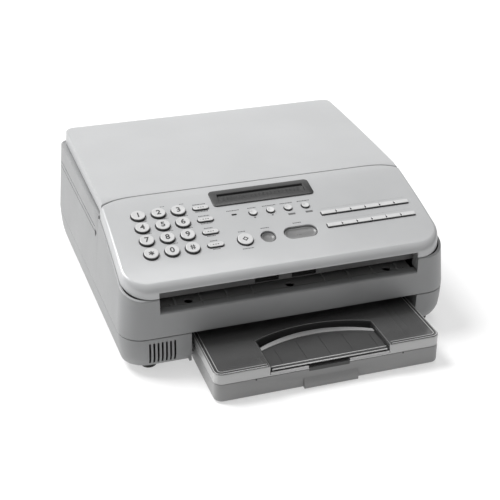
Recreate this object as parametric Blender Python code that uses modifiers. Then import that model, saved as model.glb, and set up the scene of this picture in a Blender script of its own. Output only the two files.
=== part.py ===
"""Desktop fax machine: housing, hinged control panel and cover, keys, document path and cassette.

Sizes are in millimetres and become metres when a mesh is made. X runs to the right, Y from the
front of the machine to its rear and Z up. Body coordinates measure Y back from the front face
and Z up from the table; world() moves the origin to the middle of the footprint.
"""
import math

import bmesh
import bpy
from mathutils import Matrix, Vector

MM = 0.001
GAP = 0.4                     # clearance between neighbouring pieces

# Overall body
BODY_DEPTH = 350.0            # front face to rear face
HALF_WIDTH = 180.0            # half of the width at the front, at the widest height
REAR_FLARE = 8.0              # each side stands this much further out at the rear
SIDE_DRAFT = 0.0975           # inward lean of the sides for each millimetre of height
WIDEST_Z = 50.0
WALL = 2.6
FRONT_CORNER = 25.0           # plan radius of the front corners
REAR_CORNER = 14.0

# Heights of the seams
BASE_BOTTOM = 8.5
BASE_TOP = 43.4
DECK_TOP = 47.0
SKIRT = 13.0                  # depth of the control panel's visible edge
SKIRT_END = 124.6             # where the panel's side skirts stop, just behind its pivot
RIM_FRONT = 128.5             # housing rim under the cover, at its front and rear
RIM_REAR = 131.0

# Control panel surface: a shallow arc rising to the rear
PANEL_FRONT = (7.0, 103.4)    # Y and Z of the front edge
PANEL_REAR = (134.4, 141.0)   # Y and Z of the rear edge
PANEL_BOW = 2.3               # rise of the arc over its chord
PANEL_WALL = 2.5
SEAM_STRAIGHT = 118.0         # half of the straight length of the panel's rear edge
SEAM_DROP = 11.0              # how far that edge curves forward at the sides
SEAM_POWER = 4                # the curve is slow at first and steep at the sides
SEAM_GAP = 1.1                # between the panel's rear edge and the cover's front edge
PANEL_PIVOT = (123.5, 137.0)
PANEL_INSET = 1.7             # the panel's sides stand this far in from the housing's
PANEL_CORNER = 30.0           # plan radius of the panel's front corners

# Top cover
COVER_RISE = 6.4              # from the seam to the rear edge
COVER_INSET = 1.6             # ledge between the housing rim and the cover, growing to the rear
COVER_TAPER = 4.2
COVER_SHARE = 0.993           # width of the cover over that of the panel, at the seam
COVER_REAR = BODY_DEPTH - 2.0
COVER_PIVOT = (COVER_REAR, RIM_REAR + 0.6)
LEDGE = 9.0                   # inward reach of the housing's ledge under the cover

# Document slot
SLOT_HALF = 140.6
SLOT_BOTTOM = 70.6
SLOT_TOP = 94.6

# Cassette and its bay
BAY_LEFT = -109.0
BAY_RIGHT = 142.0
BAY_REAR = 262.0
CASSETTE_X = 16.5             # centre of the cassette
CASSETTE_HALF = 121.0
CASSETTE_FRONT = -68.0
CASSETTE_REAR = 252.0
CASSETTE_BOTTOM = 1.2
CASSETTE_TOP = 21.4
COVER_TOP = 33.5
GRIP_DEPTH = 3.0              # the grip under the cassette's front stands forward by this
NOTCH_HALF = 64.5             # half of the width of the recess in the cassette cover

# Feet, vents and the openings in the rear wall (X and Z from low to high)
FEET = [(-150.0, 24.0), (159.0, 24.0), (-160.0, 325.0), (164.0, 325.0)]
FOOT_RADIUS = 8.0
VENT_FIRST_X = -152.6
VENT_PITCH = 4.35
VENT_COUNT = 7
EXIT_OPENING = (-130.0, 130.0, 100.0, 114.0)
INLET_OPENING = (108.0, 138.0, 60.0, 84.0)
JACK_OPENING = (-142.0, -118.0, 57.5, 80.5)

# Keys: a position is X and the distance up the slope from the panel's front edge
KEY_FLANGE = 1.2              # how far a key's foot reaches under the panel, all round
KEY_FOOT = -8.5               # underside of a key's foot, below the panel's surface
KEY_EDGE = 0.7                # chamfer round the top of a key
BOARD_DROP = -13.0            # top of the board behind the keys
KEY_ROWS = [38.6 + 19.7 * row for row in range(4)]
NUMBER_COLUMNS = [-137.4, -115.6, -94.0]
NUMBER_RADIUS = 7.5
SIDE_KEY_X = -69.5
SIDE_KEY_SIZE = (17.0, 6.0)
FUNCTION_KEY_X = [-16.7 + 19.8 * column for column in range(4)]
FUNCTION_KEY_S = 78.8
FUNCTION_KEY_RADIUS = 4.2
MEMORY_KEY = (-37.2, 40.0)
MEMORY_RADIUS = 8.2
RESET_KEY = (-11.7, 40.4)
RESET_RADIUS = 7.5
START_KEY = (24.4, 40.5)
START_KEY_SIZE = (35.5, 15.8)
ONE_TOUCH_FIRST_X = 63.4
ONE_TOUCH_PITCH = 17.0
ONE_TOUCH_ROWS = [42.6, 62.4]
ONE_TOUCH_DEPTH = 5.4
# Height of each key's top above the panel; the last two lie in hollows below it
NUMBER_HEIGHT = 2.8
SMALL_HEIGHT = 1.9            # side, function and one-touch keys
MEMORY_HEIGHT = 2.3
RESET_HEIGHT = -1.6
START_HEIGHT = -1.8
DISPLAY_CENTRE = (2.2, 109.4)
DISPLAY_SIZE = (115.0, 26.4)
DISPLAY_CORNER = 4.5
WINDOW_CENTRE = (2.3, 109.7)
WINDOW_SIZE = (98.2, 11.2)

# Document rollers and the print unit
FEED_ROLLER = (62.0, 67.6)    # Y and Z of each axis
EXIT_ROLLER = (118.0, 70.4)
IDLER_GEAR = (90.0, 69.0)
ROLLER_RADIUS = 9.0
PINION_RADIUS = 11.6
IDLER_RADIUS = 16.0
PLATEN = (214.0, 104.0)
PLATEN_RADIUS = 11.0
PRINT_HALF = 118.0            # centre of the paper path to each side plate
PICKUP = (226.0, 33.4)
PICKUP_RADIUS = 10.0
MOTOR = (112.0, 53.0)
GUIDE_HALF = 137.0
RIB_PLACES = [side * (39.5 + 27.5 * n) for side in (-1, 1) for n in range(4)]
STOPPER_PIVOT = (CASSETTE_FRONT + 3.0, 27.9)
LIFT_PIVOT = (-40.0, 5.2)


# ---------------------------------------------------------------- scene and materials

def clear_scene():
    for scene_object in list(bpy.data.objects):
        bpy.data.objects.remove(scene_object)


def new_collection(name):
    collection = bpy.data.collections.new(name)
    bpy.context.scene.collection.children.link(collection)
    return collection


def material(name, colour, roughness, metallic=0.0, alpha=1.0):
    made = bpy.data.materials.get(name) or bpy.data.materials.new(name)
    made.use_nodes = True
    shader = made.node_tree.nodes["Principled BSDF"]
    shader.inputs["Base Color"].default_value = (*colour, 1.0)
    shader.inputs["Roughness"].default_value = roughness
    shader.inputs["Metallic"].default_value = metallic
    shader.inputs["Alpha"].default_value = alpha
    made.diffuse_color = (*colour, alpha)
    return made


PAINTS = {
    "housing": ((0.56, 0.56, 0.56), 0.45),
    "panel": ((0.68, 0.68, 0.69), 0.38),
    "cover": ((0.64, 0.64, 0.65), 0.42),
    "key": ((0.72, 0.72, 0.72), 0.40),
    "grey_key": ((0.42, 0.42, 0.43), 0.45),
    "dark": ((0.03, 0.03, 0.032), 0.35),
    "display": ((0.10, 0.11, 0.10), 0.20),
    "guide": ((0.12, 0.12, 0.125), 0.50),
    "cassette": ((0.35, 0.35, 0.36), 0.50),
    "smoked": ((0.10, 0.10, 0.10), 0.12),
    "plate": ((0.60, 0.60, 0.58), 0.50),
    "rubber": ((0.025, 0.025, 0.025), 0.85),
    "metal": ((0.62, 0.62, 0.63), 0.32),
    "board": ((0.03, 0.14, 0.07), 0.45),
}


def paint(node, slot):
    """Give one node its own material, named for the node and coloured for its slot."""
    colour, roughness = PAINTS[slot]
    metallic = 1.0 if slot == "metal" else 0.0
    alpha = 0.45 if slot == "smoked" else 1.0
    node.data.materials.clear()
    node.data.materials.append(material(node.name + "_" + slot, colour, roughness, metallic, alpha))


# ---------------------------------------------------------------- frames and outlines

def world(x, y, z):
    """Body coordinates in millimetres to world metres."""
    middle = (BODY_DEPTH + CASSETTE_FRONT - GRIP_DEPTH) / 2
    return Vector((x, y - middle, z)) * MM


def half_width(y, z):
    """Half of the housing's width at a distance back and a height."""
    lean = SIDE_DRAFT * max(z - WIDEST_Z, 0.0)
    tuck = 5.5 * (1 - math.sqrt(1 - min((WIDEST_Z - z) / 42.0, 1.0) ** 2)) if z < WIDEST_Z else 0.0
    return HALF_WIDTH + REAR_FLARE * y / BODY_DEPTH - lean - tuck


def panel_arc():
    """Chord length, chord angle and radius of the control panel's arc."""
    run = PANEL_REAR[0] - PANEL_FRONT[0]
    rise = PANEL_REAR[1] - PANEL_FRONT[1]
    chord = math.hypot(run, rise)
    radius = chord ** 2 / (8 * PANEL_BOW) + PANEL_BOW / 2
    return chord, math.atan2(rise, run), radius


def panel_point(s, lift=0.0):
    """Y, Z and slope of the panel's surface at a distance s up from its front edge."""
    chord, angle, radius = panel_arc()
    half_turn = math.asin(chord / (2 * radius))
    slope = angle + half_turn - s / radius
    start = angle + half_turn
    y = PANEL_FRONT[0] + radius * (math.sin(start) - math.sin(slope)) - lift * math.sin(slope)
    z = PANEL_FRONT[1] + radius * (math.cos(slope) - math.cos(start)) + lift * math.cos(slope)
    return y, z, slope


def panel_frame(x, s, lift=0.0):
    """Placement of something that sits square on the panel's surface."""
    y, z, slope = panel_point(s, lift)
    return Matrix.Translation(world(x, y, z)) @ Matrix.Rotation(slope, 4, "X")


def panel_line(lift, first=0.0, last=1.0, steps=8):
    """Points along the panel's arc, moved along its normal."""
    length = panel_arc()[2] * 2 * math.asin(panel_arc()[0] / (2 * panel_arc()[2]))
    spots = [length * (first + (last - first) * i / steps) for i in range(steps + 1)]
    return [panel_point(s, lift)[:2] for s in spots]


def cover_line(drop, steps=6):
    """Points along the top of the cover from the seam to the rear edge."""
    start, end = PANEL_REAR[0], COVER_REAR
    points = []
    for i in range(steps + 1):
        t = i / steps
        rise = COVER_RISE * (1 - (1 - t) ** 1.8)
        points.append((start + (end - start) * t, PANEL_REAR[1] + rise - drop))
    return points


def arc(centre, radius, start, end, segments):
    """Points on an arc; the angles are in degrees."""
    angles = [math.radians(start + (end - start) * i / segments) for i in range(segments + 1)]
    return [(centre[0] + radius * math.cos(a), centre[1] + radius * math.sin(a)) for a in angles]


def rounded_rectangle(x0, x1, y0, y1, front, rear, segments=4):
    """Outline with one radius at the low-Y corners and another at the high-Y corners."""
    return (arc((x0 + front, y0 + front), front, 180, 270, segments)
            + arc((x1 - front, y0 + front), front, 270, 360, segments)
            + arc((x1 - rear, y1 - rear), rear, 0, 90, segments)
            + arc((x0 + rear, y1 - rear), rear, 90, 180, segments))


def stadium(length, width, segments=6):
    """Outline of a slot-shaped key, centred on the origin."""
    reach = (length - width) / 2
    return (arc((reach, 0), width / 2, -90, 90, segments)
            + arc((-reach, 0), width / 2, 90, 270, segments))


def seam_y(x, gap=0.0):
    """Rear edge of the control panel: straight, then curving forward at the sides."""
    beyond = max(abs(x) - SEAM_STRAIGHT, 0.0) / (HALF_WIDTH - SEAM_STRAIGHT)
    return PANEL_REAR[0] - SEAM_DROP * beyond ** SEAM_POWER + gap


def seam_line(reach, gap, share=1.0, segments=6):
    """Points along the seam from right to left; share is the width left to a narrower piece."""
    bend = [SEAM_STRAIGHT + (reach - SEAM_STRAIGHT) * i / segments for i in range(segments + 1)]
    xs = [x for x in reversed(bend)] + [-x for x in bend]
    return [(x, seam_y(x * share, gap)) for x in xs]


# ---------------------------------------------------------------- solids

def finish(bm, name, collection, origin=(0.0, 0.0, 0.0), smooth=35.0):
    """Turn a mesh built in body millimetres into an object whose origin is at a body point."""
    pivot = world(*origin)
    for vertex in bm.verts:
        vertex.co = world(*vertex.co) - pivot
    bmesh.ops.recalc_face_normals(bm, faces=bm.faces)
    mesh = bpy.data.meshes.new(name)
    bm.to_mesh(mesh)
    bm.free()
    mesh.shade_smooth()
    mesh.set_sharp_from_angle(angle=math.radians(smooth))
    made = bpy.data.objects.new(name, mesh)
    made.location = pivot
    collection.objects.link(made)
    return made


def cube(bm, low, high):
    """Add a box between two corners to a mesh."""
    size = [b - a for a, b in zip(low, high)]
    centre = [(a + b) / 2 for a, b in zip(low, high)]
    matrix = Matrix.Translation(centre) @ Matrix.Diagonal((*size, 1.0))
    return bmesh.ops.create_cube(bm, size=1.0, matrix=matrix)["verts"]


def box(name, low, high, collection, origin=(0.0, 0.0, 0.0)):
    bm = bmesh.new()
    cube(bm, low, high)
    return finish(bm, name, collection, origin)


def rod(bm, start, end, radius, sides=12):
    """Add a cylinder between two points to a mesh."""
    start, end = Vector(start), Vector(end)
    turn = (end - start).to_track_quat("Z", "Y").to_matrix().to_4x4()
    matrix = Matrix.Translation((start + end) / 2) @ turn
    bmesh.ops.create_cone(bm, cap_ends=True, segments=sides, radius1=radius, radius2=radius,
                          depth=(end - start).length, matrix=matrix)


def extruded(outline, low, high, axes="xyz"):
    """Solid from a flat outline, extruded along the last of three axes."""
    curve = bpy.data.curves.new("outline", "CURVE")
    curve.dimensions = "2D"
    curve.fill_mode = "BOTH"
    curve.extrude = (high - low) / 2
    spline = curve.splines.new("POLY")
    spline.points.add(len(outline) - 1)
    for point, (u, v) in zip(spline.points, outline):
        point.co = (u, v, 0.0, 1.0)
    spline.use_cyclic_u = True
    holder = bpy.data.objects.new("outline", curve)
    bpy.context.scene.collection.objects.link(holder)
    bpy.context.view_layer.update()
    evaluated = holder.evaluated_get(bpy.context.evaluated_depsgraph_get())
    mesh = bpy.data.meshes.new_from_object(evaluated)
    bpy.data.objects.remove(holder)
    bm = bmesh.new()
    bm.from_mesh(mesh)
    bpy.data.meshes.remove(mesh)
    bmesh.ops.remove_doubles(bm, verts=bm.verts, dist=0.001)
    order = ["xyz".index(letter) for letter in axes]
    for vertex in bm.verts:
        flat = (vertex.co.x, vertex.co.y, vertex.co.z + (low + high) / 2)
        placed = [0.0, 0.0, 0.0]
        for value, index in zip(flat, order):
            placed[index] = value
        vertex.co = placed
    bmesh.ops.recalc_face_normals(bm, faces=bm.faces)
    return bm


def slab(name, outline, low, high, collection, axes="xyz", origin=(0.0, 0.0, 0.0)):
    return finish(extruded(outline, low, high, axes), name, collection, origin)


def levels(bm, heights):
    """Add a horizontal loop at each height so that the walls can follow a curve."""
    for height in heights:
        geometry = bm.verts[:] + bm.edges[:] + bm.faces[:]
        bmesh.ops.bisect_plane(bm, geom=geometry, dist=1e-4, plane_co=(0, 0, height),
                               plane_no=(0, 0, 1))


def follow_sides(bm, inset, taper=0.0):
    """Stretch a block made for the nominal width so that its sides follow the housing's."""
    for vertex in bm.verts:
        wanted = half_width(vertex.co.y, vertex.co.z) - inset - taper * vertex.co.y / BODY_DEPTH
        vertex.co.x *= wanted / (HALF_WIDTH - inset)


def body_block(name, inset, low, high, collection, front=0.0, rear=BODY_DEPTH, loops=()):
    """A block that follows the housing's sides, set in from them by a distance."""
    outline = rounded_rectangle(-HALF_WIDTH + inset, HALF_WIDTH - inset, front, rear,
                                max(FRONT_CORNER - inset, 3.0), max(REAR_CORNER - inset, 3.0))
    bm = extruded(outline, low, high)
    levels(bm, loops)
    follow_sides(bm, inset)
    return finish(bm, name, collection)


def turned(name, profile, collection, matrix, sides=16):
    """Solid of revolution about local Z from (radius, height) points, listed from the top down."""
    mesh = bpy.data.meshes.new(name)
    points = [(radius * MM, 0.0, height * MM) for radius, height in profile]
    mesh.from_pydata(points, [(i, i + 1) for i in range(len(points) - 1)], [])
    made = bpy.data.objects.new(name, mesh)
    collection.objects.link(made)
    made.matrix_world = matrix
    screw = made.modifiers.new("Turn", "SCREW")
    screw.steps = screw.render_steps = sides
    screw.use_merge_vertices = True
    screw.merge_threshold = 0.00001
    return made


def combine(target, cutter, operation="DIFFERENCE"):
    modifier = target.modifiers.new(operation.title(), "BOOLEAN")
    modifier.operation = operation
    modifier.object = cutter
    modifier.solver = "EXACT"
    cutter.hide_render = True
    cutter.display_type = "WIRE"


def cut_boxes(target, name, boxes, collection):
    """Cut several separate boxes out of a piece."""
    bm = bmesh.new()
    for low, high in boxes:
        cube(bm, low, high)
    combine(target, finish(bm, name, collection))


def add_boxes(target, name, boxes, collection):
    """Join boxes to a piece, one after the other because they may touch each other."""
    for index, (low, high) in enumerate(boxes):
        combine(target, box(f"{name}_{index}", low, high, collection), "UNION")


def cut_rods(target, name, rods, collection, sides=12):
    bm = bmesh.new()
    for start, end, radius in rods:
        rod(bm, start, end, radius, sides)
    combine(target, finish(bm, name, collection))


def cut_slab(target, name, outline, low, high, collection, axes="xyz"):
    combine(target, slab(name, outline, low, high, collection, axes))


# ---------------------------------------------------------------- housing and base

def make_housing(parts, cutters):
    """Upper housing: a ring of walls with a ledge under the cover, trimmed along the panel's skirt."""
    housing = body_block("main_housing", 0.0, BASE_TOP + GAP, 136.0, parts, loops=(WIDEST_Z,))
    inner = body_block("housing_inside", WALL, 30.0, 150.0, cutters, WALL, BODY_DEPTH - WALL,
                       (WIDEST_Z,))
    combine(housing, inner)
    edge = [(y, z - SKIRT - GAP) for y, z in panel_line(0.0, 0.0, 0.92, 6)]
    ledge = body_block("housing_ledge", 0.5, 90.0, 150.0, cutters, 0.5, BODY_DEPTH - 0.5)
    combine(ledge, body_block("ledge_inside", LEDGE, 60.0, 160.0, cutters, LEDGE, BODY_DEPTH - LEDGE))
    beyond = BODY_DEPTH + 10.0
    band = [(SKIRT_END + 1.5, RIM_FRONT - 2.8), (beyond, RIM_REAR - 2.8), (beyond, RIM_REAR - 0.4),
            (SKIRT_END + 1.5, RIM_FRONT - 0.4)]
    combine(ledge, slab("ledge_band", band, -200.0, 200.0, cutters, "yzx"), "INTERSECT")
    combine(housing, ledge, "UNION")
    above = [(-10.0, edge[0][1]), *edge, (SKIRT_END + 1.0, RIM_FRONT), (beyond, RIM_REAR),
             (beyond, 180.0), (-10.0, 180.0)]
    cut_slab(housing, "housing_trim", above, -200.0, 200.0, cutters, "yzx")
    openings = [((-SLOT_HALF, -5.0, SLOT_BOTTOM), (SLOT_HALF, 6.0, SLOT_TOP + 10))]
    for x0, x1, z0, z1 in (EXIT_OPENING, INLET_OPENING, JACK_OPENING):
        openings.append(((x0, BODY_DEPTH - 8, z0), (x1, BODY_DEPTH + 5, z1)))
    cut_boxes(housing, "housing_openings", openings, cutters)
    paint(housing, "housing")


def base_block(name, inset, low, high, collection, loops):
    """A base-height block whose front and rear also tuck in towards the bottom."""
    outline = rounded_rectangle(-HALF_WIDTH + inset, HALF_WIDTH - inset, inset, BODY_DEPTH - inset,
                                max(FRONT_CORNER - inset, 3.0), max(REAR_CORNER - inset, 3.0))
    bm = extruded(outline, low, high)
    levels(bm, loops)
    middle = BODY_DEPTH / 2
    for vertex in bm.verts:
        tuck = HALF_WIDTH - half_width(0.0, min(vertex.co.z, WIDEST_Z))
        vertex.co.y = middle + (vertex.co.y - middle) * (1 - tuck / middle)
    follow_sides(bm, inset)
    return finish(bm, name, collection)


def make_base(parts, cutters):
    """Base shell with the cassette bay, its rails, the print unit's side plates and the feet."""
    loops = (14.0, 22.0, 32.0)
    base = base_block("base_chassis", 0.0, BASE_BOTTOM, BASE_TOP, parts, loops)
    floor = BASE_BOTTOM + WALL
    combine(base, base_block("base_inside", WALL, floor, 60.0, cutters, loops))
    left, right = BAY_LEFT - WALL, BAY_RIGHT + WALL
    add_boxes(base, "bay_shell", [((left, WALL + 1.0, BASE_BOTTOM), (right, BAY_REAR + WALL, DECK_TOP))],
              cutters)
    cut_boxes(base, "bay", [((BAY_LEFT, -20.0, -5.0), (BAY_RIGHT, BAY_REAR, DECK_TOP - WALL))], cutters)
    rails = [((BAY_LEFT - 1.0, 6.0, 14.5), (BAY_LEFT + 3.4, 250.0, 18.0)),
             ((BAY_RIGHT - 3.4, 6.0, 14.5), (BAY_RIGHT + 1.0, 250.0, 18.0))]
    mounts = [((x - 1.5, 190.0, DECK_TOP - 1.0), (x + 1.5, BAY_REAR, 118.0))
              for x in (CASSETTE_X - PRINT_HALF, CASSETTE_X + PRINT_HALF)]
    motor_plate = ((146.6, MOTOR[0] - 17.0, BASE_BOTTOM + 1.0), (149.0, MOTOR[0] + 17.0, MOTOR[1] + 17.0))
    add_boxes(base, "base_ribs", [*rails, *mounts, motor_plate], cutters)
    for index, (x, y) in enumerate(FEET):
        bm = bmesh.new()
        rod(bm, (x, y, 0.0), (x, y, BASE_BOTTOM + 1.0), FOOT_RADIUS, 16)
        combine(base, finish(bm, f"foot_{index}", cutters), "UNION")
    vents = []
    for slot in range(VENT_COUNT):
        x = VENT_FIRST_X + VENT_PITCH * slot
        vents.append(((x - 1.0, -3.0, 13.0), (x + 1.0, 9.0, 38.5)))
    cut_boxes(base, "vents", vents, cutters)
    shafts = [((left, *PLATEN), (right, *PLATEN), 4.4), ((left - 2, *PICKUP), (right + 2, *PICKUP), 3.4),
              ((146.0, *MOTOR), (150.0, *MOTOR), 3.2)]
    cut_rods(base, "base_bearings", shafts, cutters)
    paint(base, "housing")


# ---------------------------------------------------------------- control panel

def make_panel(parts, cutters):
    """Panel shell: its plan outline met with its side profile, hollowed, then pierced."""
    reach = HALF_WIDTH - PANEL_INSET
    corner = PANEL_CORNER
    plan = (arc((-reach + corner, corner + 1), corner, 180, 270, 5)
            + arc((reach - corner, corner + 1), corner, 270, 360, 5) + seam_line(reach, 0.0))
    bm = extruded(plan, 60.0, 170.0)
    follow_sides(bm, PANEL_INSET)
    panel = finish(bm, "control_panel", parts, (0.0, *PANEL_PIVOT))
    top = panel_line(0.0)
    skirt = [(y, z - SKIRT) for y, z in panel_line(0.0, 0.0, 0.91, 6)]
    nose = [(-5.0, 97.0), (1.4, 97.6), (3.2, 100.6)]
    shelf = [point for point in panel_line(-PANEL_WALL, 0.92, 1.02, 2) if point[0] > SKIRT_END]
    side = [(-5.0, skirt[0][1]), *skirt, (SKIRT_END, skirt[-1][1] + 1.0), (SKIRT_END, shelf[0][1] - 0.4),
            *shelf, *reversed(top), *reversed(nose)]
    keep = slab("panel_profile", side, -200.0, 200.0, cutters, "yzx")
    combine(panel, keep, "INTERSECT")
    inner_reach = reach - PANEL_WALL
    corner = PANEL_CORNER - 2
    hollow = (arc((-inner_reach + corner, corner + 4), corner, 180, 270, 5)
              + arc((inner_reach - corner, corner + 4), corner, 270, 360, 5)
              + [(inner_reach, 150.0), (-inner_reach, 150.0)])
    bm = extruded(hollow, 60.0, 170.0)
    follow_sides(bm, PANEL_INSET + PANEL_WALL)
    inside = finish(bm, "panel_inside", cutters)
    under = [(y, z) for y, z in panel_line(-PANEL_WALL, 0.0, 0.999)]
    below = [(-5.0, 60.0), (160.0, 60.0), (160.0, under[-1][1]), *reversed(under), (-5.0, 99.0)]
    room = slab("panel_room", below, -190.0, 190.0, cutters, "yzx")
    combine(inside, room, "INTERSECT")
    combine(panel, inside)
    combine(panel, panel_holes(cutters))
    cut_boxes(panel, "skirt_slot", [((-SLOT_HALF, -8.0, 70.0), (SLOT_HALF, 8.0, SLOT_TOP))], cutters)
    paint(panel, "panel")


def add_hole(bm, outline, x, s, depth=12.0):
    """Add a through hole's solid, square to the panel's surface, to a mesh of cutters."""
    piece = extruded(outline, -depth, 6.0)
    mesh = bpy.data.meshes.new("hole")
    piece.to_mesh(mesh)
    piece.free()
    y, z, slope = panel_point(s)
    mesh.transform(Matrix.Translation((x, y, z)) @ Matrix.Rotation(slope, 4, "X"))
    bm.from_mesh(mesh)
    bpy.data.meshes.remove(mesh)


def panel_holes(cutters):
    bm = bmesh.new()
    for outline, clearance, x, s in key_places():
        add_hole(bm, outline(clearance), x, s)
    reach = 3 * ONE_TOUCH_PITCH + 0.3
    middle = ONE_TOUCH_FIRST_X + 2.5 * ONE_TOUCH_PITCH
    for s in ONE_TOUCH_ROWS:
        add_hole(bm, rectangle(2 * reach, ONE_TOUCH_DEPTH + 0.8), middle, s)
    add_hole(bm, rectangle(DISPLAY_SIZE[0] - 6, DISPLAY_SIZE[1] - 6), *DISPLAY_CENTRE)
    return finish(bm, "panel_holes", cutters)


def rectangle(width, depth):
    x, y = width / 2, depth / 2
    return [(-x, -y), (x, -y), (x, y), (-x, y)]


def round_outline(radius):
    return lambda grow: arc((0, 0), radius + grow, 0, 337.5, 15)


def slot_outline(size):
    return lambda grow: stadium(size[0] + 2 * grow, size[1] + 2 * grow)


def key_places():
    """Outline, clearance and place of every key that has its own hole."""
    places = [(round_outline(NUMBER_RADIUS), 0.5, x, s) for s in KEY_ROWS for x in NUMBER_COLUMNS]
    places += [(slot_outline(SIDE_KEY_SIZE), 0.4, SIDE_KEY_X, s) for s in KEY_ROWS]
    places += [(round_outline(FUNCTION_KEY_RADIUS), 0.4, x, FUNCTION_KEY_S) for x in FUNCTION_KEY_X]
    places.append((round_outline(MEMORY_RADIUS), 0.5, *MEMORY_KEY))
    places.append((round_outline(RESET_RADIUS), 0.5, *RESET_KEY))
    places.append((slot_outline(START_KEY_SIZE), 0.5, *START_KEY))
    return places


def top_face(bm):
    """The highest face, after its cap has been joined into one polygon."""
    bmesh.ops.dissolve_limit(bm, angle_limit=0.01, verts=bm.verts, edges=bm.edges)
    return max(bm.faces, key=lambda face: face.calc_center_median().z)


def raise_face(bm, face, height):
    """Pull one face straight up with walls behind it, and return it."""
    moved = bmesh.ops.extrude_discrete_faces(bm, faces=[face])["faces"][0]
    bmesh.ops.translate(bm, verts=moved.verts, vec=(0, 0, height))
    return moved


def place_on_panel(bm, name, x, s, parts, slot):
    """Turn a mesh built around its own centre into a piece that stands square on the panel."""
    bm.transform(Matrix.Scale(MM, 4))
    bmesh.ops.recalc_face_normals(bm, faces=bm.faces)
    mesh = bpy.data.meshes.new(name)
    bm.to_mesh(mesh)
    bm.free()
    mesh.shade_smooth()
    mesh.set_sharp_from_angle(angle=math.radians(35))
    made = bpy.data.objects.new(name, mesh)
    parts.objects.link(made)
    made.matrix_world = panel_frame(x, s)
    paint(made, slot)
    return made


def make_key(name, outline, x, s, height, slot, parts):
    """A key cap on a wider foot that holds it behind the panel."""
    shoulder = -PANEL_WALL - 0.5
    bm = extruded(outline(KEY_FLANGE), KEY_FOOT, shoulder)
    top = top_face(bm)
    bmesh.ops.inset_region(bm, faces=[top], thickness=KEY_FLANGE, use_even_offset=True)
    top = raise_face(bm, top, height - KEY_EDGE - shoulder)
    bmesh.ops.inset_region(bm, faces=[top], thickness=KEY_EDGE, depth=KEY_EDGE, use_even_offset=True)
    place_on_panel(bm, name, x, s, parts, slot)


def make_keys(parts):
    names = ["key_star", "key_0", "key_hash"] + [f"key_{n}" for n in (7, 8, 9, 4, 5, 6, 1, 2, 3)]
    spots = [(x, s) for s in KEY_ROWS for x in NUMBER_COLUMNS]
    for name, (x, s) in zip(names, spots):
        make_key(name, round_outline(NUMBER_RADIUS), x, s, NUMBER_HEIGHT, "key", parts)
    for index, s in enumerate(reversed(KEY_ROWS)):
        make_key(f"side_key_{index + 1}", slot_outline(SIDE_KEY_SIZE), SIDE_KEY_X, s, SMALL_HEIGHT,
                 "key", parts)
    for index, x in enumerate(FUNCTION_KEY_X):
        outline = round_outline(FUNCTION_KEY_RADIUS)
        make_key(f"function_key_{index + 1}", outline, x, FUNCTION_KEY_S, SMALL_HEIGHT, "key", parts)
    make_key("memory_key", round_outline(MEMORY_RADIUS), *MEMORY_KEY, MEMORY_HEIGHT, "key", parts)
    make_key("reset_key", round_outline(RESET_RADIUS), *RESET_KEY, RESET_HEIGHT, "grey_key", parts)
    make_key("start_key", slot_outline(START_KEY_SIZE), *START_KEY, START_HEIGHT, "grey_key", parts)
    half, depth = ONE_TOUCH_PITCH / 2 - 0.25, ONE_TOUCH_DEPTH / 2
    shoulder = -PANEL_WALL - 0.5
    side = [(-depth - KEY_FLANGE, KEY_FOOT), (depth + KEY_FLANGE, KEY_FOOT), (depth + KEY_FLANGE, shoulder),
            (depth, shoulder), (depth, SMALL_HEIGHT - KEY_EDGE), (depth - KEY_EDGE, SMALL_HEIGHT),
            (-depth + KEY_EDGE, SMALL_HEIGHT), (-depth, SMALL_HEIGHT - KEY_EDGE), (-depth, shoulder),
            (-depth - KEY_FLANGE, shoulder)]
    for index in range(12):
        row, column = divmod(index, 6)
        x = ONE_TOUCH_FIRST_X + ONE_TOUCH_PITCH * column
        name = f"one_touch_key_{index + 1:02d}"
        place_on_panel(extruded(side, -half, half, "yzx"), name, x, ONE_TOUCH_ROWS[1 - row], parts, "key")


def make_display(parts, cutters):
    """Dark bezel with a window, and the display module behind it."""
    width, depth = DISPLAY_SIZE
    outline = rounded_rectangle(-width / 2, width / 2, -depth / 2, depth / 2, DISPLAY_CORNER,
                                DISPLAY_CORNER, 3)
    bm = extruded(outline, GAP, 1.2)
    bezel = place_on_panel(bm, "display_bezel", *DISPLAY_CENTRE, parts, "dark")
    window = extruded(rectangle(*WINDOW_SIZE), -5.0, 5.0)
    cutter = place_on_panel(window, "display_window", *WINDOW_CENTRE, cutters, "dark")
    body = extruded(rectangle(width - 6 - 2 * GAP, depth - 6 - 2 * GAP), -5.5, 0.8)
    combine(bezel, place_on_panel(body, "bezel_body", *DISPLAY_CENTRE, cutters, "dark"), "UNION")
    combine(bezel, cutter)
    glass = extruded(rectangle(WINDOW_SIZE[0] + 4, WINDOW_SIZE[1] + 4), -9.0, -5.5 - GAP)
    place_on_panel(glass, "display_module", *WINDOW_CENTRE, parts, "display")


def make_panel_board(parts):
    chord, angle, _ = panel_arc()
    bm = extruded(rectangle(264.0, 100.0), -1.6, 0.0)
    board = place_on_panel(bm, "panel_board", 0.0, chord / 2, parts, "board")
    y, z, _ = panel_point(chord / 2, BOARD_DROP)
    board.matrix_world = Matrix.Translation(world(0.0, y, z)) @ Matrix.Rotation(angle, 4, "X")


# ---------------------------------------------------------------- document path

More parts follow.
